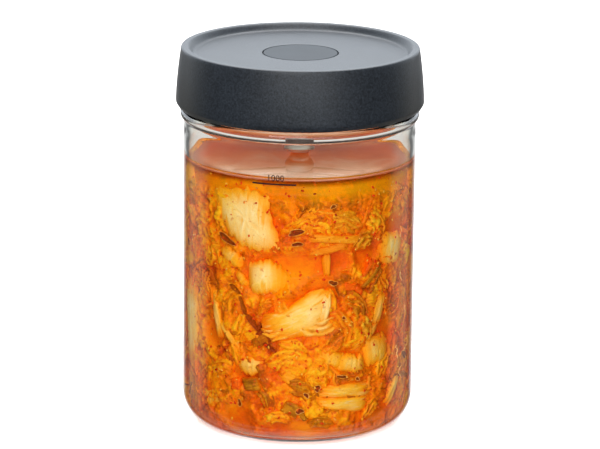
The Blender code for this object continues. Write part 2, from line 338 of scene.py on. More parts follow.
@dataclass(frozen=True)
class SunkFood:
    """Fermented vegetable in cloudy brine: its own colour at the glass, brine orange behind.

    The cloudiness is worked out from how far a point lies behind the glass, so it is the same
    from every side. Each point of a piece carries its tone, how far up a fold it lies, and its
    place along the grain. Down in a fold the colour takes a painted shade, and up on a fold a
    painted highlight.
    """

    name: str
    tones: Stops
    # Painted shade down in folds and painted highlight up on them, placed by the fold attribute.
    crease: str = "9a4406"
    ridge: str = "ffd067"
    fibre: str = "e8901a"
    gleam: str = "ffc04a"
    fibre_mm: float = 0.9
    fibre_share: float = 0.7
    clear_mm: float = 2.4
    patch_mm: float = 5.0
    mottle: float = 0.35
    roughness: float = 0.35
    specular: float = 0.08
    relief_mm: float = 0.7
    relief_depth: float = 0.12
    grit: float = 0.45
    speck: str = "c22c04"
    speck_share: float = 0.7
    brine: Stops = ((0.34, "e65000"), (0.5, "f46800"), (0.66, "ff9000"), (0.82, "ffb000"))
    stain: Stops = ((0.0, "fffffa"), (0.3, "fff0b0"), (0.6, "ffd060"), (0.9, "ffa828"))
    # Real pulp and chilli specks are mostly finer than a millimetre, drawn coarser so that they show.
    pulp_mm: float = 1.3
    speck_mm: float = 2.1
    drift_mm: float = 19.0
    # Heights over which the brine behind the food grows brighter: painted light near the top.
    clearing_mm: Point = (100.0, 124.0)

    def material(self) -> bpy.types.Material:
        """Build the food's own colour, the brine's, and the fade from one to the other."""
        made, tree, out = new_material(self.name)
        place = place_in_mm(tree)
        tone, fold = (add_node(tree, "ShaderNodeAttribute", {"attribute_name": name}).outputs["Fac"]
                      for name in ("tone", "fold"))
        drive = tone
        for wide, warp, share in ((self.patch_mm, 0.8, self.mottle), (self.pulp_mm, 0.0, self.grit)):
            patches = add_node(tree, "ShaderNodeTexNoise", None,
                               {"Vector": place, "Scale": 1 / wide, "Detail": 3.0, "Distortion": warp})
            centred = add_node(tree, "ShaderNodeMath", {"operation": "SUBTRACT"},
                               {0: patches.outputs[0], 1: 0.5})
            drive = add_node(tree, "ShaderNodeMath", {"operation": "MULTIPLY_ADD"},
                             {0: centred.outputs[0], 1: 2 * share, 2: drive}).outputs[0]
        specks = add_node(tree, "ShaderNodeTexNoise", None,
                          {"Vector": place, "Scale": 1 / self.speck_mm, "Detail": 1.0})
        colour = add_node(tree, "ShaderNodeValToRGB", {"stops": self.tones}, {0: drive}).outputs[0]
        grain = add_node(tree, "ShaderNodeAttribute", {"attribute_name": "grain"})
        drawn = add_node(tree, "ShaderNodeMapping", None,
                         {"Vector": grain.outputs["Vector"], "Scale": (1 / self.fibre_mm, 0.09, 1.0)})
        streaks = add_node(tree, "ShaderNodeTexNoise", None,
                           {"Vector": drawn.outputs[0], "Scale": 1.0, "Detail": 3.0, "Distortion": 0.5})
        # Fibre streaks, then painted shade in creases and painted highlight on ridges by the fold, then
        # chilli specks.
        for source, low, high, least, most, code in (
                (streaks.outputs[0], 0.52, 0.68, 0.0, self.fibre_share, self.fibre),
                (streaks.outputs[0], 0.34, 0.47, self.fibre_share, 0.0, self.gleam),
                (fold, 0.04, 0.36, 0.85, 0.0, self.crease), (fold, 0.68, 0.98, 0.0, 0.7, self.ridge),
                (specks.outputs[0], 0.66, 0.74, 0.0, self.speck_share, self.speck)):
            share = add_node(tree, "ShaderNodeMapRange", {"interpolation_type": "SMOOTHSTEP"},
                             {0: source, 1: low, 2: high, 3: least, 4: most})
            colour = add_node(tree, "ShaderNodeMix", {"data_type": "RGBA"},
                              {0: share.outputs[0], 6: colour, 7: linear(code)}).outputs[2]
        cloud = add_node(tree, "ShaderNodeTexNoise", None,
                         {"Vector": place, "Scale": 1 / self.drift_mm, "Detail": 2.0})
        height = add_node(tree, "ShaderNodeSeparateXYZ", None, {0: place}).outputs[2]
        # Painted light: the brine behind the food brightens towards the fill line.
        clearer = add_node(tree, "ShaderNodeMapRange", {"interpolation_type": "SMOOTHSTEP"},
                           {0: height, 1: self.clearing_mm[0], 2: self.clearing_mm[1], 3: 0.0, 4: 0.3})
        cloud = add_node(tree, "ShaderNodeMath", {"operation": "ADD"},
                         {0: cloud.outputs[0], 1: clearer.outputs[0]})
        brine = add_node(tree, "ShaderNodeValToRGB", {"stops": self.brine}, {0: cloud.outputs[0]})
        hidden = self.cloudiness(tree, place)
        tint = add_node(tree, "ShaderNodeValToRGB", {"stops": self.stain}, {0: hidden})
        stained = add_node(tree, "ShaderNodeMix", {"data_type": "RGBA", "blend_type": "MULTIPLY"},
                           {0: 1.0, 6: colour, 7: tint.outputs[0]})
        cover = add_node(tree, "ShaderNodeMath", {"operation": "POWER"}, {0: hidden, 1: 1.4})
        mixed = add_node(tree, "ShaderNodeMix", {"data_type": "RGBA"},
                         {0: cover.outputs[0], 6: stained.outputs[2], 7: brine.outputs[0]})
        fine = add_node(tree, "ShaderNodeTexNoise", None,
                        {"Vector": place, "Scale": 1 / self.relief_mm, "Detail": 2.0})
        bump = add_node(tree, "ShaderNodeBump", None,
                        {"Strength": self.relief_depth, "Distance": 0.3 * MM, "Height": fine.outputs[0]})
        food = add_node(tree, "ShaderNodeBsdfPrincipled", None,
                        {"Base Color": mixed.outputs[2], "Roughness": self.roughness,
                         "Specular IOR Level": self.specular, "Normal": bump.outputs[0]})
        tree.links.new(food.outputs[0], out.inputs["Surface"])
        return made

    def cloudiness(self, tree: bpy.types.NodeTree, place: bpy.types.NodeSocket) -> bpy.types.NodeSocket:
        """How much brine hides a point, from nothing at the glass to all of it far behind."""
        split, radius = from_axis(tree, place)
        behind = add_node(tree, "ShaderNodeMath", {"operation": "SUBTRACT"}, {0: WALL.radius / MM, 1: radius})
        below = add_node(tree, "ShaderNodeMath", {"operation": "SUBTRACT"}, {0: WALL.fill / MM, 1: split[2]})
        depth = add_node(tree, "ShaderNodeMath", {"operation": "MINIMUM"},
                         {0: behind.outputs[0], 1: below.outputs[0]})
        thinned = add_node(tree, "ShaderNodeMath", {"operation": "MULTIPLY"},
                           {0: depth.outputs[0], 1: -1 / self.clear_mm})
        clear = add_node(tree, "ShaderNodeMath", {"operation": "EXPONENT"}, {0: thinned.outputs[0]})
        return add_node(tree, "ShaderNodeMath", {"operation": "SUBTRACT", "use_clamp": True},
                        {0: 1.0, 1: clear.outputs[0]}).outputs[0]


@dataclass(frozen=True)
class OilFilm:
    """Chilli oil and fine pulp afloat on brine, in cloudy swirls; its pale front and red-brown back are a
    painted reflection.
    """

    swirl_mm: float = 26.0
    # Colours from front to back, a painted reflection: pale in front, red-brown behind.
    stops: Stops = ((0.1, "f4ccb4"), (0.3, "e29a70"), (0.46, "de6420"), (0.62, "d04a08"), (0.85, "e06c0c"))
    rim: str = "b04c10"
    rim_mm: Point = (43.0, 49.0)

    def material(self) -> bpy.types.Material:
        """Build the film: paler towards the front as a painted reflection, with slow swirls, and orange at
        the glass.
        """
        made, tree, out = new_material("chilli_oil_film_painted_reflection")
        place = place_in_mm(tree)
        split, reach = from_axis(tree, place)
        swirls = add_node(tree, "ShaderNodeTexNoise", None,
                          {"Vector": place, "Scale": 1 / self.swirl_mm, "Detail": 2.0, "Distortion": 1.2})
        # The front-to-back drive of the painted reflection, stirred by the swirls.
        across = add_node(tree, "ShaderNodeMapRange", None,
                          {0: split[1], 1: -WALL.radius / MM, 2: WALL.radius / MM, 3: -0.2, 4: 0.8})
        drive = add_node(tree, "ShaderNodeMath", {"operation": "MULTIPLY_ADD"},
                         {0: swirls.outputs[0], 1: 0.4, 2: across.outputs[0]})
        colour = add_node(tree, "ShaderNodeValToRGB", {"stops": self.stops}, {0: drive.outputs[0]})
        edge = add_node(tree, "ShaderNodeMapRange", {"interpolation_type": "SMOOTHSTEP"},
                        {0: reach, 1: self.rim_mm[0], 2: self.rim_mm[1]})
        mixed = add_node(tree, "ShaderNodeMix", {"data_type": "RGBA"},
                         {0: edge.outputs[0], 6: colour.outputs[0], 7: linear(self.rim)})
        film = add_node(tree, "ShaderNodeBsdfPrincipled", None,
                        {"Base Color": mixed.outputs[2], "Roughness": 0.35, "Specular IOR Level": 0.2})
        tree.links.new(film.outputs[0], out.inputs["Surface"])
        return made


@dataclass(frozen=True)
class Wall:
    """The inside of the glass, on which the food is laid out by azimuth and height."""

    radius: float
    floor: float
    corner: float
    corner_rise: float
    fill: float

    def reach(self, height: float, clear: float = 0.3 * MM) -> float:
        """Furthest radius that a piece may take at a height.

        Args:
            height: Height above the foot.
            clear: Space kept to the glass.

        Returns:
            The radius.
        """
        full = self.radius - clear
        corner_top = self.floor + self.corner_rise
        if height >= corner_top:
            return full
        share = min(1.0, (corner_top - height) / (self.corner_rise - clear))
        return full - (self.corner - clear) * (1.0 - math.sqrt(1.0 - share * share))

    def point(self, azimuth: float, height: float, depth: float) -> Vector:
        """A point at an azimuth in radians, a height, and a depth behind the glass."""
        radius = self.reach(height) - depth
        return Vector((radius * math.sin(azimuth), -radius * math.cos(azimuth), height))


GLASS_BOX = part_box("jar_glass")
NOISE_SHIFTS = (Vector((12.3, 4.6, 6.7)), Vector((31.4, -15.9, 26.5)), Vector((-7.1, 82.8, -18.3)))
WALL = Wall(radius=51.4 * MM, floor=4.0 * MM, corner=9.4 * MM, corner_rise=10.5 * MM, fill=126.3 * MM)


def noise_way(place: Vector) -> Vector:
    """Three smooth noise values at a place, each from about -1 to 1, the same in every run."""
    return Vector([noise.noise(place + shift) for shift in NOISE_SHIFTS])


def arc(centre: Point, radii: Point, start: float, end: float, count: int) -> list[Point]:
    """Points of an elliptical arc in the radius and height plane.

    Args:
        centre: Radius and height of the arc's centre.
        radii: Its half widths outwards and upwards.
        start: First angle in degrees, from outwards towards up.
        end: Last angle in degrees.
        count: Number of steps.

    Returns:
        The points, both ends among them.
    """
    turns = [math.radians(start + (end - start) * step / count) for step in range(count + 1)]
    return [(centre[0] + radii[0] * math.cos(turn), centre[1] + radii[1] * math.sin(turn)) for turn in turns]


def smooth_path(points: Sequence[Point], steps: int) -> list[Point]:
    """Run a smooth curve through a few points of a profile.

    Args:
        points: The points that it passes through.
        steps: Steps in each span.

    Returns:
        The finer points, both ends among them.
    """
    path = []
    ends = [points[0], *points, points[-1]]
    for before, start, end, after in zip(ends, ends[1:], ends[2:], ends[3:]):
        for step in range(steps):
            t = step / steps
            place = []
            for axis in (0, 1):
                a, b, c, d = before[axis], start[axis], end[axis], after[axis]
                place.append(0.5 * (2 * b + (c - a) * t + (2 * a - 5 * b + 4 * c - d) * t * t
                                    + (3 * b - a - 3 * c + d) * t ** 3))
            path.append((place[0], place[1]))
    return path + [points[-1]]


def link_piece(name: str, mesh: bpy.types.Mesh, material: bpy.types.Material,
               sharp: float = 35.0) -> bpy.types.Object:
    """Put a finished mesh in the scene, shaded smooth but for its sharp edges.

    Args:
        name: The piece's name.
        mesh: Its mesh, in place.
        material: Its finish.
        sharp: The angle in degrees past which an edge stays sharp.

    Returns:
        The object.
    """
    mesh.name = name
    mesh.materials.clear()
    mesh.materials.append(material)
    mesh.shade_smooth()
    mesh.set_sharp_from_angle(angle=math.radians(sharp))
    piece = bpy.data.objects.new(name, mesh)
    bpy.context.scene.collection.objects.link(piece)
    return piece


def settled_mesh(item: bpy.types.Object) -> bpy.types.Mesh:
    """The mesh of an object as its modifiers leave it, and the object removed."""
    graph = bpy.context.evaluated_depsgraph_get()
    mesh = bpy.data.meshes.new_from_object(item.evaluated_get(graph))
    bpy.data.objects.remove(item, do_unlink=True)
    return mesh


def face_outwards(mesh: bpy.types.Mesh) -> None:
    """Turn the faces of each closed shell in a mesh outwards."""
    shells = bmesh.new()
    shells.from_mesh(mesh)
    bmesh.ops.recalc_face_normals(shells, faces=shells.faces[:])
    shells.to_mesh(mesh)
    shells.free()


def held(profile: Sequence[Point], near: float = 0.05 * MM, long: float = 1.5 * MM) -> list[Point]:
    """Hold straight spans of a profile flat, so that smooth shading bends only their very ends.

    Args:
        profile: The points.
        near: How close to each end of a span the added points lie.
        long: The length from which a span is held.

    Returns:
        The points with the added ones among them.
    """
    points = [profile[0]]
    for start, end in zip(profile, profile[1:]):
        length = math.dist(start, end)
        if length < SAME_PLACE:
            continue
        if length > long:
            for share in (near / length, 1 - near / length):
                points.append((start[0] + (end[0] - start[0]) * share,
                               start[1] + (end[1] - start[1]) * share))
        points.append(end)
    return points


def turned(name: str, profile: Sequence[Point], material: bpy.types.Material,
           steps: int = 192, sharp: float = 35.0) -> bpy.types.Object:
    """Turn a profile about the jar's axis into a closed piece.

    Args:
        name: The piece's name.
        profile: Radius and height points, down the outer side.
        material: Its finish.
        steps: Steps round the axis.
        sharp: The angle in degrees past which an edge stays sharp.

    Returns:
        The object.
    """
    profile = held(profile)
    mesh = bpy.data.meshes.new(name)
    mesh.from_pydata([(radius, 0.0, height) for radius, height in profile],
                     [(index, index + 1) for index in range(len(profile) - 1)], [])
    outline = bpy.data.objects.new(name + "_outline", mesh)
    bpy.context.scene.collection.objects.link(outline)
    screw = outline.modifiers.new("Turn", "SCREW")
    screw.angle = math.tau
    screw.steps = steps
    screw.render_steps = steps
    screw.use_merge_vertices = True
    screw.merge_threshold = 0.000001
    return link_piece(name, settled_mesh(outline), material, sharp)


@dataclass
class GlassJar:
    """The glass with its printed fill line."""

    body_r: float = 53.8 * MM
    foot_r: float = 42.2 * MM
    foot_rise: float = 13.3 * MM
    neck_r: float = 53.2 * MM
    shoulder_r: float = 53.9 * MM
    shoulder_z: float = 136.5 * MM
    groove_r: float = 53.78 * MM
    groove_z: float = 141.0 * MM
    crease_r: float = 53.5 * MM
    crease_z: float = 144.0 * MM
    bead_r: float = 55.4 * MM
    bead_top_z: float = 148.9 * MM
    line_z: float = 124.6 * MM
    line_from: float = -23.1
    line_to: float = -1.3
    line_thick: float = 0.75 * MM
    print_lift: float = 0.03 * MM
    figures: str = "1000"
    figures_at: float = -11.5
    figures_high: float = 3.0 * MM
    figures_gap: float = 1.1 * MM
    figures_swell: float = 0.04 * MM

    def build(self) -> list[bpy.types.Object]:
        """Build the glass and its print."""
        top = GLASS_BOX[1][2]
        inner = WALL.radius
        rim = (self.neck_r - inner) / 2
        floor_arc = arc((inner - WALL.corner, WALL.floor + WALL.corner_rise),
                        (WALL.corner, WALL.corner_rise), -90, 0, 20)
        rim_arc = arc((inner + rim, top - rim), (rim, rim), 180, 0, 8)
        bead_z = (self.crease_z + self.bead_top_z) / 2
        bead = arc((self.neck_r, bead_z), (self.bead_r - self.neck_r, (self.bead_top_z - self.crease_z) / 2),
                   84, -66, 16)
        waist = smooth_path([(self.crease_r, self.crease_z),
                             (self.crease_r + 0.3 * MM, self.crease_z - 0.5 * MM),
                             (self.groove_r, self.groove_z), (self.shoulder_r, self.shoulder_z),
                             (self.body_r, self.shoulder_z - 6 * MM)], 6)
        foot = arc((self.foot_r, self.foot_rise), (self.body_r - self.foot_r, self.foot_rise), 0, -90, 24)
        profile = ([(0.0, WALL.floor)] + floor_arc + rim_arc + [(self.neck_r, self.bead_top_z + 0.3 * MM)]
                   + bead + waist + foot + [(0.0, 0.0)])
        glass = turned("glass_body", profile, GLASS.material(), sharp=80.0)
        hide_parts("jar_glass")
        ink = ScreenInk().material()
        pieces = [glass, self.fill_line(ink), self.capacity(ink)]
        for piece in pieces:
            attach(piece, "root")
        return pieces

    def on_glass(self, azimuth: float, height: float, lift: float) -> Vector:
        """A point just off the outside of the glass, at an azimuth in radians."""
        radius = self.body_r + lift
        return Vector((radius * math.sin(azimuth), -radius * math.cos(azimuth), height))

    def fill_line(self, ink: bpy.types.Material) -> bpy.types.Object:
        """The printed line that marks how full the jar may be."""
        steps = 24
        corners = []
        for step in range(steps + 1):
            azimuth = math.radians(self.line_from + (self.line_to - self.line_from) * step / steps)
            for lift in (0.0, self.print_lift):
                for rise in (0.0, self.line_thick):
                    corners.append(self.on_glass(azimuth, self.line_z + rise, lift))
        faces = []
        for step in range(steps):
            here, there = 4 * step, 4 * step + 4
            faces += [(here + 2, there + 2, there + 3, here + 3), (here + 1, there + 1, there, here),
                      (here + 3, there + 3, there + 1, here + 1), (here, there, there + 2, here + 2)]
        last = 4 * steps
        faces += [(0, 2, 3, 1), (last, last + 1, last + 3, last + 2)]
        mesh = bpy.data.meshes.new("fill_line")
        mesh.from_pydata(corners, [], faces)
        return link_piece("fill_line", mesh, ink)

    def capacity(self, ink: bpy.types.Material) -> bpy.types.Object:
        """Plain figures above the line, in millilitres."""
        text = bpy.data.curves.new("capacity", "FONT")
        text.body = self.figures
        text.size = self.figures_high * 1.35
        text.align_x = "CENTER"
        text.extrude = self.print_lift / 2
        text.offset = self.figures_swell
        text.resolution_u = 3
        letters = bpy.data.objects.new("capacity_outline", text)
        bpy.context.scene.collection.objects.link(letters)
        mesh = settled_mesh(letters)
        for vertex in mesh.vertices:
            across, up, out = vertex.co
            azimuth = math.radians(self.figures_at) + across / self.body_r
            vertex.co = self.on_glass(azimuth, self.line_z + self.line_thick + self.figures_gap + up,
                                      out + self.print_lift / 2)
        return link_piece("capacity_figures", mesh, ink)


@dataclass
class Cap:
    """The dished cap and the disc set flush in it."""

    bottom_z: float = 149.8 * MM
    foot_r: float = 55.9 * MM
    max_r: float = 57.5 * MM
    max_z: float = 152.4 * MM
    top_r: float = 55.2 * MM
    edge: float = 0.9 * MM
    barrel_power: float = 1.6
    crest_width: float = 2.5 * MM
    dish_z: float = 174.6 * MM
    dish_r: float = 48.0 * MM
    under_z: float = 171.2 * MM
    skirt_r: float = 53.8 * MM
    disc_r: float = 17.2 * MM
    seam: float = 0.45 * MM
    disc_thick: float = 1.7 * MM
    gap: float = 0.3 * MM

    def build(self) -> list[bpy.types.Object]:
        """Build the shell and the disc."""
        shell_finish = MouldedPlastic("polypropylene_spark_eroded", dark="171b20", light="31373f",
                                      roughness=0.37, specular=0.36, grit_mm=0.9, grit_depth=0.34)
        disc_finish = MouldedPlastic("polypropylene_satin_moulded", dark="141a20", light="2a323b",
                                     roughness=0.5, specular=0.22, grit_mm=0.35, grit_depth=0.06)
        shell = turned("cap_shell", self.shell_profile(), shell_finish.material(), sharp=50.0)
        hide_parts("cap")
        disc = turned("cap_disc_face", self.disc_profile(), disc_finish.material(), steps=96, sharp=50.0)
        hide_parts("cap_disc")
        for piece, slot in ((shell, Slot.CAP), (disc, Slot.DISC)):
            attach(piece, "root")
        return [shell, disc]

    def shell_profile(self) -> list[Point]:
        """Section of the shell from the middle of the disc's seat, over the crest and up inside."""
        top = CAD_BOX[1][2]
        seat_z = self.dish_z - self.disc_thick - self.gap
        seat_r = self.disc_r + self.seam
        lip = 0.3 * MM
        seat = [(0.0, seat_z), (seat_r, seat_z),
                *arc((seat_r + lip, self.dish_z - lip), (lip, lip), 180, 90, 4)]
        crest_r = self.top_r - self.edge - self.crest_width
        slope = smooth_path([(self.dish_r, self.dish_z), (self.dish_r + 1.6 * MM, self.dish_z + 0.5 * MM),
                             (crest_r - 0.5 * MM, top - 0.75 * MM), (crest_r + 0.3 * MM, top - 0.1 * MM),
                             (crest_r + 0.9 * MM, top)], 6)
        shoulder = arc((self.top_r - self.edge, top - self.edge), (self.edge, self.edge), 90, 12, 6)
        barrel = []
        steps = 22
        for step in range(1, steps + 1):
            share = 1 - step / steps
            drop = (self.max_r - self.top_r) * share ** self.barrel_power
            barrel.append((self.max_r - drop, self.max_z + (top - self.edge - self.max_z) * share))
        foot = smooth_path([(self.max_r - 0.05 * MM, self.max_z - 0.4 * MM),
                            (self.foot_r + 0.5 * MM, self.bottom_z + 0.4 * MM),
                            (self.foot_r, self.bottom_z)], 4)
        return (seat + slope + shoulder + barrel + foot
                + [(self.skirt_r, self.bottom_z), (self.skirt_r, self.under_z), (0.0, self.under_z)])

    def disc_profile(self) -> list[Point]:
        """Section of the disc, flush with the dish, with a soft edge."""
        soft = 0.35 * MM
        edge = arc((self.disc_r - soft, self.dish_z - soft), (soft, soft), 90, 0, 5)
        low = self.dish_z - self.disc_thick
        return [(0.0, self.dish_z)] + edge + [(self.disc_r, low), (0.0, low)]


@dataclass
class Valve:
    """The dark post under the cap and the steel head at its lower end."""

    post_r: float = 6.5 * MM
    head_top_z: float = 133.0 * MM
    flange_r: float = 7.0 * MM
    flange_z: float = 130.2 * MM
    tip_r: float = 4.8 * MM
    tip_z: float = 127.2 * MM

    def build(self) -> list[bpy.types.Object]:
        """Build the post and the head."""
        low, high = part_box("valve_post")
        soft = 0.4 * MM
        post_profile = ([(0.0, high[2]), (self.post_r, high[2]), (self.post_r, low[2] + soft)]
                        + arc((self.post_r - soft, low[2] + soft), (soft, soft), 0, -90, 4) + [(0.0, low[2])])
        post_finish = MouldedPlastic("silicone_rubber_moulded", dark="2a1712", light="43271f", roughness=0.5)
        post = turned("valve_post_body", post_profile, post_finish.material(), steps=64)
        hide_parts("valve_post")
        half = (self.head_top_z - self.flange_z) / 4
        flange = arc((self.flange_r - half, self.flange_z), (half, half), 80, -80, 10)
        taper = smooth_path([flange[-1], (self.tip_r + 1.0 * MM, self.tip_z + 1.7 * MM),
                             (self.tip_r + 0.2 * MM, self.tip_z + 1.2 * MM),
                             (self.tip_r, self.tip_z + 0.5 * MM),
                             (self.tip_r - 0.4 * MM, self.tip_z)], 5)
        dome = smooth_path([(0.0, self.head_top_z), (self.post_r * 0.7, self.head_top_z - 0.05 * MM),
                            (self.post_r * 0.93, self.head_top_z - 0.9 * MM), flange[0]], 5)
        head = turned("valve_head_steel", dome + flange[1:] + taper[1:] + [(0.0, self.tip_z)],
                      TurnedSteel().material(), steps=96)
        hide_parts("valve_head")
        for piece in (post, head):
            bpy.data.collections["under_cap"].objects.link(piece)
        for piece, slot in ((post, Slot.POST), (head, Slot.STEEL)):
            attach(piece, "root")
        return [post, head]


@dataclass(frozen=True)
class Lay:
    """Where a piece of food lies against the glass."""

    azimuth: float
    height: float
    width: float
    length: float
    turn: float
    depth: float = 0.0


def lays_in_mm(*rows: tuple[float, ...]) -> list[Lay]:
    """Make lays of rows of numbers.

    Args:
        rows: Azimuth and height, width and length, turn, and depth for a sunken piece. Angles
            are degrees and lengths are millimetres.

    Returns:
        The lays, in metres.
    """
    return [Lay(azimuth, height * MM, width * MM, length * MM, turn, *(depth * MM for depth in sunk))
            for azimuth, height, width, length, turn, *sunk in rows]


@dataclass
class FoodMesh:
    """All the pieces of one kind, gathered into one mesh."""

    name: str
    verts: list[Vector] = field(default_factory=list)
    faces: list[tuple[int, ...]] = field(default_factory=list)
    grain: list[tuple[float, float, float]] = field(default_factory=list)
    fold: list[float] = field(default_factory=list)
    tone: list[float] = field(default_factory=list)

    def add_point(self, point: Vector, grain: tuple[float, float, float] = (0.0, 0.0, 0.0),
                  fold: float = 0.5, tone: float = 0.5) -> int:
        """Add a point with its place along the grain, its fold and its tone."""
        self.verts.append(point)
        self.grain.append(grain)
        self.fold.append(fold)
        self.tone.append(tone)
        return len(self.verts) - 1

    def join_rings(self, rings: Sequence[Sequence[int]], shut: bool = True) -> None:
        """Join rings of points one after another, and the last to the first if shut is false.

        Args:
            rings: The rings, all with as many points.
            shut: True if the first and last rings are closed with a fan each.
        """
        pairs = list(zip(rings, rings[1:]))
        if not shut:
            pairs.append((rings[-1], rings[0]))
        for upper, lower in pairs:
            for here, there in zip(range(len(upper)), [*range(1, len(upper)), 0]):
                self.faces.append((upper[here], upper[there], lower[there], lower[here]))
        if shut:
            self.faces.append(tuple(reversed(rings[0])))
            self.faces.append(tuple(rings[-1]))

    def add_slab(self, columns: int, rows: int, shape: Callable[[float, float, bool], tuple],
                 seed: float = 0.0) -> None:
        """Add a closed slab made of a front sheet and a back sheet.

        Args:
            columns: Steps across.
            rows: Steps along.
            shape: Gives a point, its place along the grain in millimetres, its fold and its
                tone, for a place from -1 to 1 across and along, on the front or on the back.
            seed: A number that tells this piece's grain from the others.
        """
        start = len(self.verts)
        for front in (True, False):
            for row in range(rows + 1):
                for column in range(columns + 1):
                    point, place, fold, tone = shape(2 * column / columns - 1, 2 * row / rows - 1, front)
                    self.add_point(point, (place[0], place[1], seed), fold, tone)
        wide = columns + 1
        back = start + wide * (rows + 1)
        for row in range(rows):
            for column in range(columns):
                a = row * wide + column
                self.faces.append((start + a, start + a + 1, start + a + wide + 1, start + a + wide))
                self.faces.append((back + a, back + a + wide, back + a + wide + 1, back + a + 1))
        rim = ([column for column in range(columns)]
               + [columns + wide * row for row in range(rows)]
               + [wide * rows + column for column in range(columns, 0, -1)]
               + [wide * row for row in range(rows, 0, -1)])
        for here, there in zip(rim, rim[1:] + rim[:1]):
            self.faces.append((start + there, start + here, back + here, back + there))

    def finish(self, material: bpy.types.Material, sharp: float = 60.0) -> bpy.types.Object:
        """Make the piece of everything gathered."""
        mesh = bpy.data.meshes.new(self.name)
        mesh.from_pydata(self.verts, [], self.faces)
        face_outwards(mesh)
        grain = mesh.attributes.new("grain", "FLOAT_VECTOR", "POINT")
        grain.data.foreach_set("vector", [number for place in self.grain for number in place])
        for name, values in (("fold", self.fold), ("tone", self.tone)):
            mesh.attributes.new(name, "FLOAT", "POINT").data.foreach_set("value", values)
        return link_piece(self.name, mesh, material, sharp)


def laid(lay: Lay, across: float, along: float, depth: float) -> Vector:
    """A point of a piece on the wall.

    Args:
        lay: Where the piece lies.
        across: Distance across the piece from its middle.
        along: Distance along it from its middle.
        depth: Distance behind the glass.

    Returns:
        The point.
    """
    lean = math.radians(lay.turn)
    around = across * math.cos(lean) - along * math.sin(lean)
    rise = across * math.sin(lean) + along * math.cos(lean)
    height = min(max(lay.height + rise, WALL.floor + 1.2 * MM), WALL.fill - 0.8 * MM)
    return WALL.point(math.radians(lay.azimuth) + around / WALL.radius, height, depth + lay.depth)


def smooth_loop(corners: Sequence[Point], steps: int) -> list[Point]:
    """Run a closed smooth curve through a few corners."""
    wrapped = [corners[-2], corners[-1], *corners, corners[0], corners[1]]
    return smooth_path(wrapped, steps)[2 * steps:-2 * steps - 1]


def cut_outline(lay: Lay, phase: float, square: float = 3.0, steps: int = 52) -> list[Point]:
    """The outline of a cut piece: a rectangle with rounded, uneven corners.

    Args:
        lay: Where the piece lies, for its width and length.
        phase: A number that tells this piece from the others.
        square: How square it is, from 2 for an oval up.
        steps: Points round the outline.

    Returns:
        Places across and along the piece.
    """
    points = []
    for step in range(steps):
        turn = math.tau * step / steps
        side, end = math.cos(turn), math.sin(turn)
        reach = (abs(side) ** square + abs(end) ** square) ** (-1 / square)
        reach *= 1 + 0.16 * noise.noise(Vector((side * 1.4 + phase, end * 1.4, phase)))
        reach *= 1 + 0.05 * noise.noise(Vector((side * 5, end * 5 + phase, phase)))
        skew = 1 + 0.22 * math.sin(phase * 3) * end
        points.append((reach * side * skew * lay.width / 2, reach * end * lay.length / 2))
    return points


# Rings of a rib from its middle out over its front, and back inside behind it. A back ring has its
# depth in millimetres too.
RIB_FRONT = (0.06, 0.2, 0.34, 0.47, 0.58, 0.68, 0.77, 0.85, 0.91, 0.96, 1.0)
RIB_BACK = ((0.96, 5.2), (0.7, 6.2), (0.1, 6.4))


@dataclass(frozen=True)
class Rib:
    """A slab of cabbage rib: crowned towards the glass, its edges falling back into the brine."""

    lay: Lay
    outline: Sequence[Point]
    phase: float
    fall: float = 3.0 * MM
    sink: Point = (0.0, 0.0)
    shade: Point = (0.0, 0.0)
    grain_turn: float = 0.0
    tone: float = 0.6

    def add_to(self, mesh: FoodMesh) -> None:
        """Add the slab to a mesh, as rings from its middle out to its edge and back inside."""
        half = max(math.hypot(*place) for place in self.outline)
        rings = [[self.front(mesh, x * share, y * share, share, half) for x, y in self.outline]
                 for share in RIB_FRONT]
        for share, depth in RIB_BACK:
            rings.append([mesh.add_point(laid(self.lay, x * share, y * share, depth * MM), tone=self.tone)
                          for x, y in self.outline])
        mesh.join_rings(rings)

    def front(self, mesh: FoodMesh, x: float, y: float, share: float, half: float) -> int:
        """Add a point of the side that faces the glass."""
        place = Vector((x / MM * 0.13, y / MM * 0.13, self.phase * 3))
        turn = math.radians(self.grain_turn)
        grain = (x * math.cos(turn) + y * math.sin(turn), y * math.cos(turn) - x * math.sin(turn))
        frayed = 2.6 * MM * share ** 3 * noise.noise(Vector((grain[0] / MM * 0.75, self.phase, 0.0)))
        x, y = x - frayed * math.sin(turn), y + frayed * math.cos(turn)
        veins = 0.5 + 0.5 * math.cos(math.tau * grain[0] / MM / 2.7 + 1.6 * noise.noise(place) * 3)
        swell = noise.noise(place * 1.3)
        depth = self.fall * (0.5 * share ** 2.5 + 0.5 * share ** 6) + (0.2 + 0.3 * swell) * MM
        depth += (0.3 * MM * veins * (1 - share * share)
                  + max(0.0, (x * self.sink[0] + y * self.sink[1]) / half) * 3 * MM)
        point = laid(self.lay, x, y, max(0.0, depth))
        shade = (x * self.shade[0] + y * self.shade[1]) / half
        return mesh.add_point(point, (grain[0] / MM, grain[1] / MM, self.phase), 0.5,
                              self.tone + 0.16 * swell + shade - 0.5 * share ** 4)


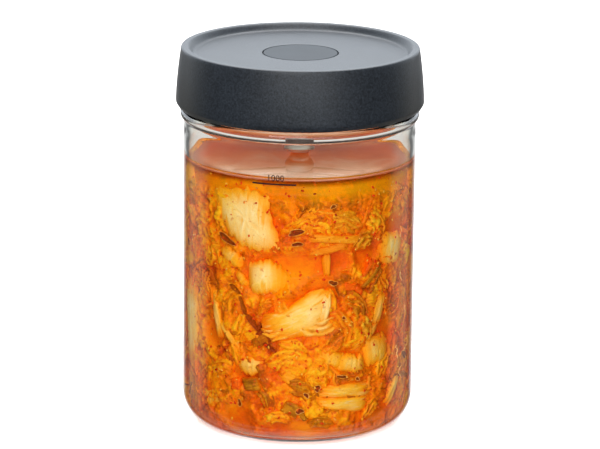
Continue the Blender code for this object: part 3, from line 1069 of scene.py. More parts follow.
@dataclass(frozen=True)
class PleatedLeaf:
    """A soft leaf bunched into curved pleats that run side by side."""

    lay: Lay
    bend: float
    pitch: float
    phase: float
    tone: float

    def add_to(self, mesh: FoodMesh) -> None:
        """Add the leaf to a mesh."""
        mesh.add_slab(22, 26, self.point, seed=self.phase)

    def point(self, across: float, along: float, front: bool) -> tuple:
        """A point of the leaf."""
        radius = self.lay.width / self.bend
        ragged = 1 + 0.28 * noise.noise(Vector((across * 1.8 + self.phase, along * 1.8, self.phase)))
        band = self.lay.length / 2 * (1 - 0.45 * across * across) * ragged
        shift = along * band
        angle = across * self.bend / 2 * (1 + 0.1 * noise.noise(Vector((along * 2, self.phase, 0))))
        x = (radius + shift) * math.sin(angle)
        y = (radius + shift) * math.cos(angle) - radius
        spot = Vector((x / MM * 0.22, y / MM * 0.22, self.phase))
        turn = math.tau * shift / self.pitch + 2.6 * noise.noise(spot) * 2
        crest = (0.5 + 0.5 * math.cos(turn)) ** 1.2
        frill = noise.noise(Vector((angle * radius / MM * 0.8, shift / MM * 0.3, self.phase)))
        edge = max(abs(across) ** 5, abs(along) ** 6)
        depth = (0.1 + 0.8 * (1 - crest) + 0.5 * frill + 3.2 * edge
                 + 0.7 * (1 + noise.noise(spot * 0.5))) * MM
        if not front:
            depth += 0.7 * MM
        # The fold puts a painted highlight on pleat crests and painted shade in their valleys.
        fold = min(1.0, max(0.0, 0.26 + 0.5 * crest + 0.4 * frill))
        tone = self.tone + 0.25 * noise.noise(spot * 0.8)
        return laid(self.lay, x, y, max(0.0, depth)), (shift / MM, angle * radius / MM), fold, tone


@dataclass(frozen=True)
class Shred:
    """A narrow torn strip or vein that winds over the pulp."""

    lay: Lay
    bow: float
    phase: float
    tone: float
    thick: float = 0.6 * MM

    def add_to(self, mesh: FoodMesh) -> None:
        """Add the strip to a mesh."""
        mesh.add_slab(4, 20, self.point, seed=self.phase)

    def point(self, across: float, along: float, front: bool) -> tuple:
        """A point of the strip."""
        taper = math.sqrt(max(0.02, 1 - along ** 4))
        wander = noise.noise(Vector((along * 1.6, self.phase, 0.0)))
        x = across * self.lay.width / 2 * taper + self.bow * (along * along - 0.4) + wander * 1.6 * MM
        y = along * self.lay.length / 2
        dip = 0.5 + 0.5 * noise.noise(Vector((along * 2.2, 5.0, self.phase)))
        depth = (0.15 + 1.2 * dip) * MM + 0.35 * MM * across * across
        if not front:
            depth += self.thick
        # The fold puts a painted highlight along the middle where the strip comes nearest the glass.
        return (laid(self.lay, x, y, depth), (x / MM, y / MM),
                0.6 + 0.35 * (1 - abs(across)) * (1 - dip), self.tone)


def chunk_shape(lay: Lay, phase: float, thick: float = 5.0 * MM) -> Callable[[float, float, bool], tuple]:
    """The form of a cut chunk or stick: flat-faced, with softened edges."""
    def shape(across: float, along: float, front: bool) -> tuple:
        pull = 0.22
        x = across + (across * math.sqrt(1 - along * along / 2) - across) * pull
        y = along + (along * math.sqrt(1 - across * across / 2) - along) * pull
        wobble = noise.noise(Vector((across + phase, along * 1.5, phase)))
        x *= lay.width / 2 * (1 + 0.16 * wobble)
        y *= lay.length / 2
        x += 0.06 * lay.length * math.sin(along * 1.7 + phase)
        edge = max(abs(across), abs(along)) ** 6
        depth = (0.4 + 0.3 * wobble + 2.0 * edge) * MM if front else thick
        # The fold puts a painted highlight on the softened edges.
        return laid(lay, x, y, depth), (x / MM, y / MM), 0.5 + 0.35 * edge, 0.5 + 0.25 * wobble
    return shape


# Corners of the three best seen slabs of cabbage stem, across and along them in millimetres.
STEM_HEART = ((-18.5, 10.0), (-1.5, 13.6), (10.5, 11.6), (11.8, 2.9), (17.0, -11.8), (8.8, -15.0),
              (-2.0, -13.4), (-11.6, -6.4), (-17.0, 1.7))
STEM_FAN = ((15.6, 10.4), (7.7, 11.6), (-0.2, 7.1), (-8.2, 1.2), (-17.2, -0.6), (-16.0, -7.8), (-8.1, -11.4),
            (0.2, -10.6), (11.0, -4.3), (16.4, 5.6))
STEM_PALE = ((-9.8, 5.6), (0.0, 8.2), (7.4, 5.0), (12.4, -0.2), (6.4, -7.0), (-3.7, -8.0), (-10.2, -4.4))
UNSEEN = (68, 292)  # azimuths round the sides and back, which the photograph doesn't show


def spread(draw: random.Random, count: int, widths: Point, lengths: Point, taken: Sequence[Lay]) -> list[Lay]:
    """Spread places over the wall's sides and back, each as clear of the others as a few draws find.

    Args:
        draw: The seeded random source.
        count: How many places.
        widths: Least and most width in millimetres.
        lengths: Least and most length in millimetres.
        taken: Places already used.

    Returns:
        The new places.
    """
    used = list(taken)
    made = []
    for _ in range(count):
        width, length = draw.uniform(*widths) * MM, draw.uniform(*lengths) * MM
        best = None
        for _ in range(24):
            azimuth = draw.uniform(*UNSEEN)
            height = draw.uniform(WALL.floor + 6 * MM, WALL.fill - 9 * MM)
            clear = 1.0
            for other in used:
                apart = math.radians((azimuth - other.azimuth + 180) % 360 - 180) * WALL.radius
                away = math.hypot(apart, height - other.height)
                clear = min(clear, away - math.sqrt(other.width * other.length) / 2)
            if best is None or clear > best[0]:
                best = (clear, azimuth, height)
        lay = Lay(best[1], best[2], width, length, draw.uniform(-80, 80), draw.uniform(0, 1.2) * MM)
        used.append(lay)
        made.append(lay)
    return made


@dataclass
class AirPockets:
    """Air pockets that the food holds against the glass: dark with painted shade, with a painted highlight
    round each rim.
    """

    more_pockets: int = 16
    more_clefts: int = 10
    # Thin bright strands, most on the right side, some on the left, the rest behind: painted glints where
    # food meets the glass.
    strands: int = 20
    strands_right: int = 7
    strands_left: int = 3
    side_right: float = 68
    side_left: float = -72

    def build(self, draw: random.Random) -> list[bpy.types.Object]:
        """Build the hollows and their rims, the shown ones in place and the rest by the draw."""
        shown = lays_in_mm(
            (-39.0, 96.0, 3.2, 9.4, 72), (-1.1, 102.3, 2.4, 8.4, -80), (-0.5, 96.8, 2.2, 4.4, 88),
            (18.0, 78, 2.6, 3.8, 85), (10.3, 28.3, 2.6, 3.4, 50), (4.8, 25.1, 2.0, 2.6, 20),
            (23.3, 33, 1.7, 4.2, 85), (32.3, 31, 1.4, 2.4, 80), (1.4, 17.5, 2.6, 3.8, 70),
            (-30.4, 19, 2.2, 3.0, 10), (17.5, 114, 1.8, 2.6, -40), (24, 61, 1.4, 2.2, 20))
        # Clefts: narrow dark gaps between pieces, coloured with painted shadow.
        clefts = lays_in_mm(
            (-34, 73, 2.2, 7, 50), (-29.5, 66, 2.4, 9, 22), (-24, 58.5, 2.6, 10, 48),
            (-18, 51.5, 5.0, 9, 38), (-14, 47, 1.8, 6, 60), (-20, 56, 1.4, 5, -10), (-26, 28, 2.4, 6, -60),
            (20, 75, 1.2, 6, 20))
        shown += spread(draw, self.more_pockets, (1.6, 3.2), (2.6, 7.5), shown)
        clefts += spread(draw, self.more_clefts, (0.8, 1.5), (5, 9), clefts)
        hollow = FoodMesh("air_pockets")
        rims = FoodMesh("air_pocket_rims")
        for number, lay in enumerate(shown + clefts):
            flush = Lay(lay.azimuth, lay.height, lay.width, lay.length, lay.turn)
            outline = self.pocket_outline(flush, number * 1.9)
            self.add_lens(hollow, flush, outline, 0.1 if number < len(shown) else 0.9)
            if number < len(shown):
                self.add_rim(rims, flush, outline)
        # Painted glints: thin bright strands laid against the glass.
        for number in range(self.strands):
            side = (self.side_right if number < self.strands_right
                    else self.side_left if number < self.strands_right + self.strands_left
                    else draw.uniform(90, 270))
            strand = Lay(side + draw.uniform(-6, 6), draw.uniform(20, 105) * MM, draw.uniform(0.35, 0.7) * MM,
                         draw.uniform(3, 9) * MM, draw.uniform(-35, 35))
            Shred(strand, draw.uniform(-3, 3) * MM, number * 1.1, 0.9, thick=0.3 * MM).add_to(rims)
        # Painted shade for the pocket hollows and the clefts.
        dark = SunkFood("air_pocket_painted_shade", tones=((0.2, "4a1602"), (0.5, "742a04"), (0.8, "a04c0a")),
                        fibre="5a1c02", gleam="9c480c", crease="4a1602", ridge="a8540e", clear_mm=3.5,
                        patch_mm=2.0)
        # Painted highlight for the pocket rims and the glint strands.
        bright = SunkFood("pocket_rims_painted_highlight", tones=((0.2, "e8841c"), (0.5, "f4a03c"), (0.8, "fcc47c")),
                          fibre="ec8c20", gleam="fcb860", crease="e07c18", ridge="f8b454", clear_mm=12.0,
                          patch_mm=2.0, roughness=0.5)
        return [hollow.finish(dark.material()), rims.finish(bright.material())]

    @staticmethod
    def pocket_outline(lay: Lay, phase: float) -> list[Point]:
        """A bean or teardrop outline round a pocket, as distances across and along it."""
        points = []
        for step in range(28):
            turn = math.tau * step / 28
            lobe = 1 + 0.22 * math.sin(2 * turn + phase) + 0.12 * math.sin(3 * turn + 2 * phase)
            points.append((lay.width / 2 * lobe * math.cos(turn), lay.length / 2 * lobe * math.sin(turn)))
        return points

    @staticmethod
    def add_lens(mesh: FoodMesh, lay: Lay, outline: Sequence[Point], sunk: float) -> None:
        """Add a pocket's shallow hollow: a closed dish whose middle lies a little deeper."""
        rings = [[mesh.add_point(laid(lay, x * share, y * share, (depth + sunk) * MM)) for x, y in outline]
                 for share, depth in ((0.1, 0.2), (0.5, 0.16), (0.85, 0.06), (1.0, 0.0), (0.96, 0.6),
                                      (0.1, 0.8))]
        mesh.join_rings(rings)

    @staticmethod
    def add_rim(mesh: FoodMesh, lay: Lay, outline: Sequence[Point], thick: float = 0.16 * MM) -> None:
        """Add the rim round a pocket: a thin ring at the glass, coloured as a painted highlight."""
        rings = []
        for side in range(6):
            turn = math.tau * side / 6
            rings.append([mesh.add_point(laid(lay, x * (1 + thick * math.cos(turn) / math.hypot(x, y)),
                                              y * (1 + thick * math.cos(turn) / math.hypot(x, y)),
                                              0.08 * MM + thick * (1 + math.sin(turn)) / 2))
                          for x, y in outline])
        mesh.join_rings(rings, shut=False)


@dataclass
class Kimchi:
    """The food in the jar, laid out against the glass."""

    seed: int = 20
    columns: int = 450
    rows: int = 200
    cell_mm: float = 10.0
    bed_down: float = 1.6 * MM
    bed_up: float = 0.4 * MM
    bed_round: float = 2.5 * MM
    calm_deep: float = 4.2 * MM
    more_ribs: int = 24
    more_leaves: int = 30
    shred_count: int = 300
    more_sticks: int = 16
    more_cubes: int = 14
    more_onion: int = 14
    # Azimuth and height, and half width in degrees and half height, of each patch of open brine.
    calm: Sequence[tuple[float, float, float, float]] = (
        (-3, 85, 24, 7), (12, 74, 8, 9), (-34, 11, 9, 8), (12, 122.5, 400, 5), (38, 90, 8, 8),
        (-26, 106, 15, 12), (1, 62, 17, 10), (-17, 79, 12, 8), (16, 87, 12, 6), (50, 50, 10, 8),
        (47, 40, 9, 8), (44, 13, 13, 5), (-49, 50, 7, 6), (3, 9, 14, 4), (27, 40, 9, 5), (60, 97, 9, 8),
        (-30, 33, 8, 5),
        (120, 60, 16, 12), (165, 90, 18, 10), (-150, 40, 16, 11), (-100, 85, 13, 10), (175, 25, 14, 8),
        (95, 25, 12, 8), (-115, 18, 14, 7), (140, 112, 20, 7))

    def build(self) -> list[bpy.types.Object]:
        """Build the bed and the pieces on it."""
        draw = random.Random(self.seed)
        bed = self.bed()
        pieces = [bed, self.ribs(draw), *self.leaves(draw), *self.shreds(draw), *self.cut_pieces(draw),
                  *AirPockets().build(draw)]
        pieces += [self.scatter(bed, "chilli_flakes", "chilli_flake_soaked", ("8c1404", "c42004", "e03a08"),
                                density=20000.0, least=0.7 * MM, most=2.1 * MM, seed=3),
                   self.scatter(bed, "garlic_crumbs", "garlic_chopped", ("d67408", "ee9a20", "f8b848"),
                                density=14000.0, least=0.5 * MM, most=1.7 * MM, seed=8)]
        for piece in pieces:
            bpy.data.collections["sunk_food"].objects.link(piece)
        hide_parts("kimchi")
        for piece in pieces:
            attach(piece, "root")
        return pieces

    def calmness(self, azimuth: float, height: float) -> float:
        """How much a place is open brine without folds, from 0 to 1."""
        calm = 0.0
        for at, level, wide, high in self.calm:
            apart = (math.degrees(azimuth) - at + 180) % 360 - 180
            away = math.hypot(apart / wide, (height / MM - level) / high)
            calm = max(calm, 1 - max(0.0, min(1.0, (away - 0.7) / 0.6)))
        return calm

    def scrap(self, place: Vector) -> tuple[float, Point, float, float]:
        """The torn leaf that covers a place of the bed.

        Args:
            place: The place in millimetres.

        Returns:
            Its depth in millimetres, the place along its grain, its fold and its tone.
        """
        warp = noise_way(place * 0.07) * 9.0 + noise_way(place * 0.24) * 2.2
        spot = (place + warp) / self.cell_mm
        near, cells = noise.voronoi(spot)
        edge = near[1] - near[0]
        own = noise_way(cells[0] * 5.7)
        other = noise_way(cells[0] * 3.3 + Vector((4, 1, 8)))
        way = Vector((own.y, own.z, own.x))
        way = way.normalized() if way.length > 0.01 else Vector((1, 0, 0))
        offset = (spot - cells[0]) * self.cell_mm
        across = offset.dot(way)
        along = offset.dot(Vector((-way.y, way.x, way.z)))
        mask = min(1.0, max(0.0, 0.35 + 2.2 * noise.noise(place * 0.09 + Vector((3, 7, 1)))))
        pleat = 0.5 + 0.5 * math.cos(math.tau * across / (2.9 + 1.2 * own.x) + 6.0 * noise.noise(place * 0.2))
        lumps = noise.noise(place * 0.4) + 0.6 * noise.noise(place * 0.95)
        # The fold puts painted shade into the gaps between scraps and a painted highlight on lumps and pleat
        # crests.
        gap = max(0.0, 1 - edge / 0.2) ** 1.5 * min(1.0, max(0.0, 0.5 + 3 * noise.noise(place * 0.12)))
        depth = (1.4 + 1.7 * other.x + offset.dot(other) * 0.16 + 1.1 * (1 - pleat) * mask - 0.8 * lumps
                 + 1.3 * gap)
        fold = 0.5 + 0.3 * (pleat - 0.5) * mask + 0.34 * lumps - 0.5 * gap
        return max(0.1, depth), (across, along), min(1.0, max(0.0, fold)), (
            0.5 + 0.42 * own.x + 0.5 * noise.noise(place * 0.05))

    def bed(self) -> bpy.types.Object:
        """The mass of torn leaves and pulp behind the pieces, as one folded surface."""
        mesh = FoodMesh("leaf_pulp_bed")
        top = WALL.fill - self.bed_down
        low = WALL.floor + self.bed_up
        rings = []
        for row in range(self.rows + 1):
            height = top + (low - top) * row / self.rows
            rounding = max(0.0, 1 - (top - height) / self.bed_round)
            ring = []
            for column in range(self.columns):
                azimuth = -math.tau * column / self.columns
                shell = WALL.point(azimuth, height, 0.0)
                depth, way, fold, tone = self.scrap(shell / MM)
                calm = self.calmness(azimuth, height)
                depth = depth * MM * (1 - calm) + self.calm_deep * calm + self.bed_round * rounding ** 2
                ring.append(mesh.add_point(WALL.point(azimuth, height, depth), (way[0], way[1], tone * 9),
                                           fold + (0.5 - fold) * calm, tone))
            rings.append(ring)
        mesh.join_rings(rings)
        finish = SunkFood("napa_leaf_fermented_pulp",
                          tones=((0.04, "8a3c04"), (0.2, "c06408"), (0.36, "e86c02"), (0.5, "f68606"),
                                 (0.66, "fca608"), (0.88, "ffcc28")),
                          crease="8a3002", ridge="ffc424", clear_mm=3.2, patch_mm=7.0, mottle=0.8,
                          fibre="c86806", gleam="ffb830", fibre_share=0.4)
        return mesh.finish(finish.material(), sharp=180.0)

    def ribs(self, draw: random.Random) -> bpy.types.Object:
        """Slabs of cabbage rib, the shown ones in place and the rest spread over the wall."""
        def scaled(corners: Sequence[Point]) -> list[Point]:
            places = [Vector((x, y, 0.0)) for x, y in reversed(smooth_loop(corners, 8))]
            return [tuple((place.xy * (1 + 0.05 * noise.noise(place * 0.5) + 0.03 * noise.noise(place * 1.3)))
                          * MM) for place in places]
        heart, fan, pale = lays_in_mm((-28, 107, 30, 28, 0), (0, 63, 34, 24, 0), (-16, 80, 22, 15, 0))
        shown = lays_in_mm(
            (56, 89, 17, 17, -8), (46, 43, 17, 15, 0, 0.4), (27, 25.5, 7.5, 27, 84),
            (26, 19.5, 7.5, 26, 83), (60, 23, 6, 20, -35), (-70, 50, 15, 42, 4),
            (-25, 37, 14, 10, 10, 0.5), (17, 42, 17, 8, -12, 0.7), (29, 38, 16, 9, -10, 0.3),
            (-37, 88, 15, 8, -30, 0.4), (-50, 19, 13, 9, 10, 0.8), (38, 50, 5, 18, -60, 0.8),
            (-38, 50, 4, 19, 42, 0.5), (-3, 33, 8, 12, 60, 0.9), (-47, 60, 5, 26, 12, 0.5),
            (47, 62, 7, 17, -20, 0.8), (15, 86, 4, 12, 4, 1.0), (-31, 78, 10, 5, -40, 1.0))
        mesh = FoodMesh("cabbage_ribs")
        Rib(heart, scaled(STEM_HEART), 1.3, fall=2.0 * MM, shade=(0.1, -0.05), tone=1.0).add_to(mesh)
        Rib(fan, scaled(STEM_FAN), 4.1, fall=2.0 * MM, shade=(0.3, 0.1), tone=0.74,
            grain_turn=-62).add_to(mesh)
        Rib(pale, scaled(STEM_PALE), 7.7, fall=2.6 * MM, sink=(0.8, -0.1), shade=(-0.4, 0.1),
            tone=0.85).add_to(mesh)
        for fringe in (PleatedLeaf(Lay(4, 57.5 * MM, 34 * MM, 11 * MM, 166), 1.7, 2.6 * MM, 3.3, 0.72),
                       PleatedLeaf(Lay(-12, 53 * MM, 18 * MM, 8 * MM, 190), 1.2, 2.2 * MM, 8.1, 0.6)):
            fringe.add_to(mesh)
        tip = Lay(14, 66 * MM, 5.5 * MM, 14 * MM, -8)
        Rib(tip, cut_outline(tip, 2.2), 2.2, fall=1.6 * MM, tone=1.0).add_to(mesh)
        taken = [heart, fan, pale, *shown]
        for number, lay in enumerate(shown + spread(draw, self.more_ribs, (9, 24), (14, 28), taken)):
            tone = (0.72 if number < len(shown) else 0.55) + 0.15 * draw.uniform(-1, 1)
            Rib(lay, cut_outline(lay, number * 1.7 + 9), number * 1.7 + 9, fall=draw.uniform(1.4, 2.6) * MM,
                sink=(draw.uniform(-0.5, 0.5), draw.uniform(-0.5, 0.5)), tone=tone).add_to(mesh)
        finish = SunkFood("napa_rib_fermented",
                          tones=((0.12, "f4940a"), (0.35, "fcb81c"), (0.55, "fdd054"), (0.78, "fceab0"),
                                 (0.96, "fff6e4")),
                          fibre="fcc24a", gleam="fdeed2", fibre_mm=1.9, fibre_share=0.85, clear_mm=2.0,
                          patch_mm=9.0, mottle=0.35, grit=0.15, speck_share=0.5, relief_depth=0.05,
                          roughness=0.3,
                          brine=((0.34, "f47804"), (0.5, "f98c06"), (0.66, "ff9e0c"), (0.82, "ffb014")))
        return mesh.finish(finish.material())

    def leaves(self, draw: random.Random) -> list[bpy.types.Object]:
        """Pleated leaves, lain over each other."""
        shown = lays_in_mm(
            (6, 107, 26, 14, 8), (26, 106, 20, 13, -20), (44, 104, 16, 13, -55), (-50, 88, 16, 11, 70),
            (24, 57, 22, 13, -65), (33, 66, 20, 10, -55), (-37, 68, 20, 9, 50), (-32, 55, 20, 9, 60),
            (-8, 42, 18, 12, 25), (3, 28, 18, 12, -30), (-44, 34, 16, 12, 20), (48, 76, 16, 9, -50),
            (14, 104, 14, 10, -40), (36, 97, 14, 10, 30), (-44, 108, 14, 10, 80), (-56, 72, 14, 10, 90),
            (17, 69, 12, 8, -80), (38, 54, 15, 9, -75), (-18, 66, 12, 7, 50), (-2, 48, 17, 8, -15),
            (10, 35, 14, 9, 20), (-16, 23, 14, 9, -60), (-34, 42, 13, 8, -70), (50, 35, 14, 9, 70),
            (-10, 14, 16, 7, 5), (14, 12, 15, 7, -8), (42, 16, 13, 8, 40), (-50, 18, 14, 8, 30))
        golden = FoodMesh("leaf_pleats_golden")
        olive = FoodMesh("leaf_pleats_olive")
        for number, lay in enumerate(shown + spread(draw, self.more_leaves, (13, 24), (8, 14), shown)):
            leaf = PleatedLeaf(lay, draw.uniform(0.9, 2.2), draw.uniform(2.2, 3.4) * MM, number * 2.9,
                               0.5 + 0.3 * draw.uniform(-1, 1))
            leaf.add_to(olive if number % 4 == 1 else golden)
        golden_finish = SunkFood("napa_leaf_fermented_golden",
                                 tones=((0.1, "c46c04"), (0.35, "ee8a04"), (0.6, "fcae0c"), (0.9, "ffd034")),
                                 crease="a44a04", ridge="ffca2c", clear_mm=3.2, patch_mm=5.0, mottle=0.6,
                                 fibre="cc7606", fibre_share=0.4)
        olive_finish = SunkFood("napa_leaf_fermented_olive",
                                tones=((0.1, "7c4606"), (0.4, "b07008"), (0.7, "d89a16"), (0.95, "f0c440")),
                                crease="6c2c04", ridge="f0c040", gleam="dca82c", clear_mm=3.0, mottle=0.6,
                                patch_mm=5.0, fibre="8c5c08", fibre_share=0.45)
        return [golden.finish(golden_finish.material()), olive.finish(olive_finish.material())]

    def shreds(self, draw: random.Random) -> list[bpy.types.Object]:
        """Narrow shreds of leaf and vein all over the wall, in a pale and a dark mix."""
        pale = FoodMesh("leaf_shreds_pale")
        dark = FoodMesh("leaf_shreds_dark")
        keep = lays_in_mm((-27, 105.5, 52, 48, 0), (2, 62.5, 44, 30, 0), (-15, 80, 34, 24, 0))
        for number in range(self.shred_count):
            azimuth = draw.uniform(-180, 180)
            height = draw.uniform(WALL.floor + 4 * MM, WALL.fill - 12 * MM)
            lay = Lay(azimuth, height, draw.uniform(0.8, 2.4) * MM, draw.uniform(4, 13) * MM,
                      draw.uniform(-90, 90), draw.uniform(0.2, 1.4) * MM)
            over_rib = any(math.hypot((azimuth - other.azimuth) / (other.width / MM / 2 * 0.9),
                                      (height - other.height) / (other.length / 2)) < 0.9 for other in keep)
            if over_rib or self.calmness(math.radians(azimuth), height) > 0.1:
                continue
            Shred(lay, draw.uniform(-3, 3) * MM, number * 1.3, draw.uniform(0, 1)).add_to(
                dark if number % 3 == 0 else pale)
        pale_finish = SunkFood("napa_vein_fermented",
                               tones=((0.0, "e8860e"), (0.6, "f6a424"), (1.0, "fcc658")), ridge="ffd070",
                               crease="b05a08", clear_mm=2.4, mottle=0.2, fibre="e09a28")
        dark_finish = SunkFood("napa_leaf_edge_fermented",
                               tones=((0.0, "74400a"), (0.5, "9c5c0c"), (1.0, "bc8018")), ridge="d09a30",
                               crease="5c2404", clear_mm=2.6, mottle=0.2, fibre="7c5a10")
        return [pale.finish(pale_finish.material()), dark.finish(dark_finish.material())]

    def cut_pieces(self, draw: random.Random) -> list[bpy.types.Object]:
        """Sticks of radish, cubes of carrot and lengths of spring onion."""
        radish = lays_in_mm((19.5, 98.4, 4.6, 28, -86), (16, 94.6, 4.4, 22, -88, 0.6))
        carrot = lays_in_mm(
            (-33.5, 27.3, 6.2, 6, 8), (38, 83, 2.4, 10, -42), (28, 75.5, 4, 8, 80, 0.4),
            (33, 73, 3, 6, 60, 0.4))
        onion = lays_in_mm(
            (-24.4, 28.5, 7, 9, -70), (-3, 18, 7, 9, 60), (-18, 50, 7, 13, -60, 0.5),
            (41, 79, 2.6, 16, -40), (44, 76, 2.4, 15, -44, 0.3), (3, 16, 3, 8, 30))
        radish += spread(draw, self.more_sticks, (4, 6), (14, 24), radish)
        carrot += spread(draw, self.more_cubes, (3, 6), (5, 12), carrot)
        onion += spread(draw, self.more_onion, (3, 7), (7, 15), onion)
        finishes = (
            SunkFood("daikon_pickled", tones=((0.2, "e8940e"), (0.5, "f4a824"), (0.8, "fbc860")),
                     ridge="ffe2a0", clear_mm=2.2, fibre_mm=1.0, fibre="ea9416"),
            SunkFood("carrot_pickled", tones=((0.2, "c83208"), (0.5, "ea520c"), (0.8, "f87a28")),
                     ridge="f47818", clear_mm=2.4, fibre="d8440a", gleam="f46a14"),
            SunkFood("spring_onion_pickled", tones=((0.2, "7a5008"), (0.5, "a06e10"), (0.8, "c89624")),
                     ridge="d0a038", clear_mm=2.4, fibre_mm=0.7, fibre="6c4808", gleam="c08c1c"))
        made = []
        for name, lays, finish in zip(("radish_sticks", "carrot_cubes", "onion_lengths"),
                                      (radish, carrot, onion), finishes):
            mesh = FoodMesh(name)
            for number, lay in enumerate(lays):
                mesh.add_slab(10, 16, chunk_shape(lay, number * 2.3), seed=number * 5.1)
            made.append(mesh.finish(finish.material(), sharp=50.0))
        return made

    def scatter(self, bed: bpy.types.Object, name: str, finish_name: str, colours: Sequence[str],
                density: float, least: float, most: float, seed: int) -> bpy.types.Object:
        """Scatter small crumbs over the bed with Geometry Nodes.

        Args:
            bed: The surface that they lie on.
            name: The piece's name.
            finish_name: The name of its finish.
            colours: Its deep, middle and pale colours.
            density: Crumbs per square metre.
            least: Least width of a crumb.
            most: Most width of a crumb.
            seed: Seed of the draw.

        Returns:
            The crumbs as one mesh piece.
        """
        finish = SunkFood(finish_name, tones=tuple(zip((-0.2, 0.0, 0.25), colours)), crease=colours[0],
                          ridge=colours[2], fibre=colours[1], clear_mm=3.4, patch_mm=1.5, relief_depth=0.0)
        material = finish.material()
        sheet = bed.data.copy()
        for vertex in sheet.vertices:
            radius, reach = vertex.co.xy.length, WALL.reach(vertex.co.z)
            if radius > 0.0:
                vertex.co.xy *= (reach - (reach - radius) * 0.08) / radius
        carrier = bpy.data.objects.new(name + "_carrier", sheet)
        bpy.context.scene.collection.objects.link(carrier)
        modifier = carrier.modifiers.new("Scatter", "NODES")
        modifier.node_group = crumb_tree()
        named = {item.name: item.identifier for item in modifier.node_group.interface.items_tree
                 if item.item_type == "SOCKET" and item.in_out == "INPUT"}
        for label, value in (("Density", density), ("Least size", least), ("Most size", most),
                             ("Seed", seed), ("Finish", material)):
            modifier[named[label]] = value
        return link_piece(name, settled_mesh(carrier), material, sharp=50.0)


@dataclass
class Brine:
    """The liquid round the food, and the cloudy film with its painted reflection that floats just under its
    surface.
    """

    bite: float = 0.15 * MM
    meniscus_high: float = 1.6 * MM
    meniscus_wide: float = 9.0 * MM
    meniscus_steps: int = 14
    film_clear: float = 1.8 * MM
    film_top: float = 0.4 * MM
    film_low: float = 0.6 * MM

    def build(self) -> list[bpy.types.Object]:
        """Build the film and the liquid."""
        film, body = self.film(), self.body()
        bpy.data.collections["under_cap"].objects.link(film)
        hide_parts("kimchi")
        for piece in (film, body):
            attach(piece, "root")
        return [film, body]

    def film(self) -> bpy.types.Object:
        """The film of chilli oil and fine pulp."""
        top, low = WALL.fill - self.film_top, WALL.fill - self.film_low
        reach = WALL.radius - self.film_clear
        profile = [(0.0, top), (0.5 * reach, top), (0.97 * reach, top), (reach, (top + low) / 2),
                   (0.97 * reach, low), (0.0, low)]
        return turned("chilli_oil_film", profile, OilFilm().material())

    def body(self) -> bpy.types.Object:
        """The liquid: from floor to fill line, just into the glass, with a meniscus at the wall."""
        reach = WALL.radius + self.bite
        surface = [(0.0, WALL.fill)]
        for step in range(1, self.meniscus_steps + 1):
            away = self.meniscus_wide * (1 - step / self.meniscus_steps)
            surface.append((reach - away, WALL.fill + self.meniscus_high * math.exp(-away / (1.6 * MM))))
        foot = arc((WALL.radius - WALL.corner, WALL.floor + WALL.corner_rise),
                   (WALL.corner + self.bite, WALL.corner_rise + self.bite), 0, -90, 20)
        return turned("brine_body", surface + foot + [(0.0, WALL.floor - self.bite)], BRINE.material(),
                      sharp=80.0)


def crumb_tree() -> bpy.types.NodeTree:
    """The Geometry Nodes tree that scatters crumbs on a surface, each turned and sized by a seed."""
    made = bpy.data.node_groups.get("crumb_scatter")
    if made:
        return made
    tree = bpy.data.node_groups.new("crumb_scatter", "GeometryNodeTree")
    tree.interface.new_socket("Geometry", in_out="OUTPUT", socket_type="NodeSocketGeometry")
    for label, kind in (("Geometry", "NodeSocketGeometry"), ("Density", "NodeSocketFloat"),
                        ("Least size", "NodeSocketFloat"), ("Most size", "NodeSocketFloat"),
                        ("Seed", "NodeSocketInt"), ("Finish", "NodeSocketMaterial")):
        tree.interface.new_socket(label, in_out="INPUT", socket_type=kind)
    given = add_node(tree, "NodeGroupInput").outputs
    points = add_node(tree, "GeometryNodeDistributePointsOnFaces", {"distribute_method": "RANDOM"},
                      {"Mesh": given["Geometry"], "Density": given["Density"], "Seed": given["Seed"]})
    ball = add_node(tree, "GeometryNodeMeshIcoSphere", None, {"Radius": 0.5, "Subdivisions": 1})
    squashed = add_node(tree, "GeometryNodeTransform", None,
                        {"Geometry": ball.outputs[0], "Scale": (1.0, 0.62, 0.3)})
    spin = add_node(tree, "FunctionNodeRandomValue", {"data_type": "FLOAT_VECTOR"},
                    {"Min": (-0.5, -0.5, 0.0), "Max": (0.5, 0.5, math.tau), "Seed": given["Seed"]})
    aligned = add_node(tree, "FunctionNodeRotateEuler", {"space": "LOCAL"},
                       {"Rotation": points.outputs["Rotation"], "Rotate By": spin.outputs[0]})
    size = add_node(tree, "FunctionNodeRandomValue", {"data_type": "FLOAT"},
                    {2: given["Least size"], 3: given["Most size"], "Seed": given["Seed"]})
    placed = add_node(tree, "GeometryNodeInstanceOnPoints", None,
                      {"Points": points.outputs["Points"], "Instance": squashed.outputs[0],
                       "Rotation": aligned.outputs[0], "Scale": size.outputs[1]})
    real = add_node(tree, "GeometryNodeRealizeInstances", None, {0: placed.outputs[0]})
    dressed = add_node(tree, "GeometryNodeSetMaterial", None,
                       {"Geometry": real.outputs[0], "Material": given["Finish"]})
    add_node(tree, "NodeGroupOutput", None, {0: dressed.outputs[0]})
    return tree


@dataclass(frozen=True)
class SoftBox:
    """A soft box that looks at the jar and lights all of the scene or only one collection."""

    name: str
    azimuth: float
    elevation: float
    away: float
    size: Point
    power: float
    only: str = ""

    def hang(self) -> None:
        """Hang the light, and keep it from lighting anything else than its collection."""
        data = bpy.data.lights.new(self.name, "AREA")
        data.shape = "RECTANGLE"
        data.size, data.size_y = self.size
        data.energy = self.power
        light = bpy.data.objects.new(self.name, data)
        bpy.context.scene.collection.objects.link(light)
        turn, rise = math.radians(self.azimuth), math.radians(self.elevation)
        place = JAR_MIDDLE + self.away * Vector((math.sin(turn) * math.cos(rise),
                                                 -math.cos(turn) * math.cos(rise), math.sin(rise)))
        light.location = place
        light.rotation_euler = (JAR_MIDDLE - place).to_track_quat("-Z", "Y").to_euler()
        light.visible_camera = False
        light.visible_transmission = False
        if self.only:
            light.light_linking.receiver_collection = bpy.data.collections[self.only]


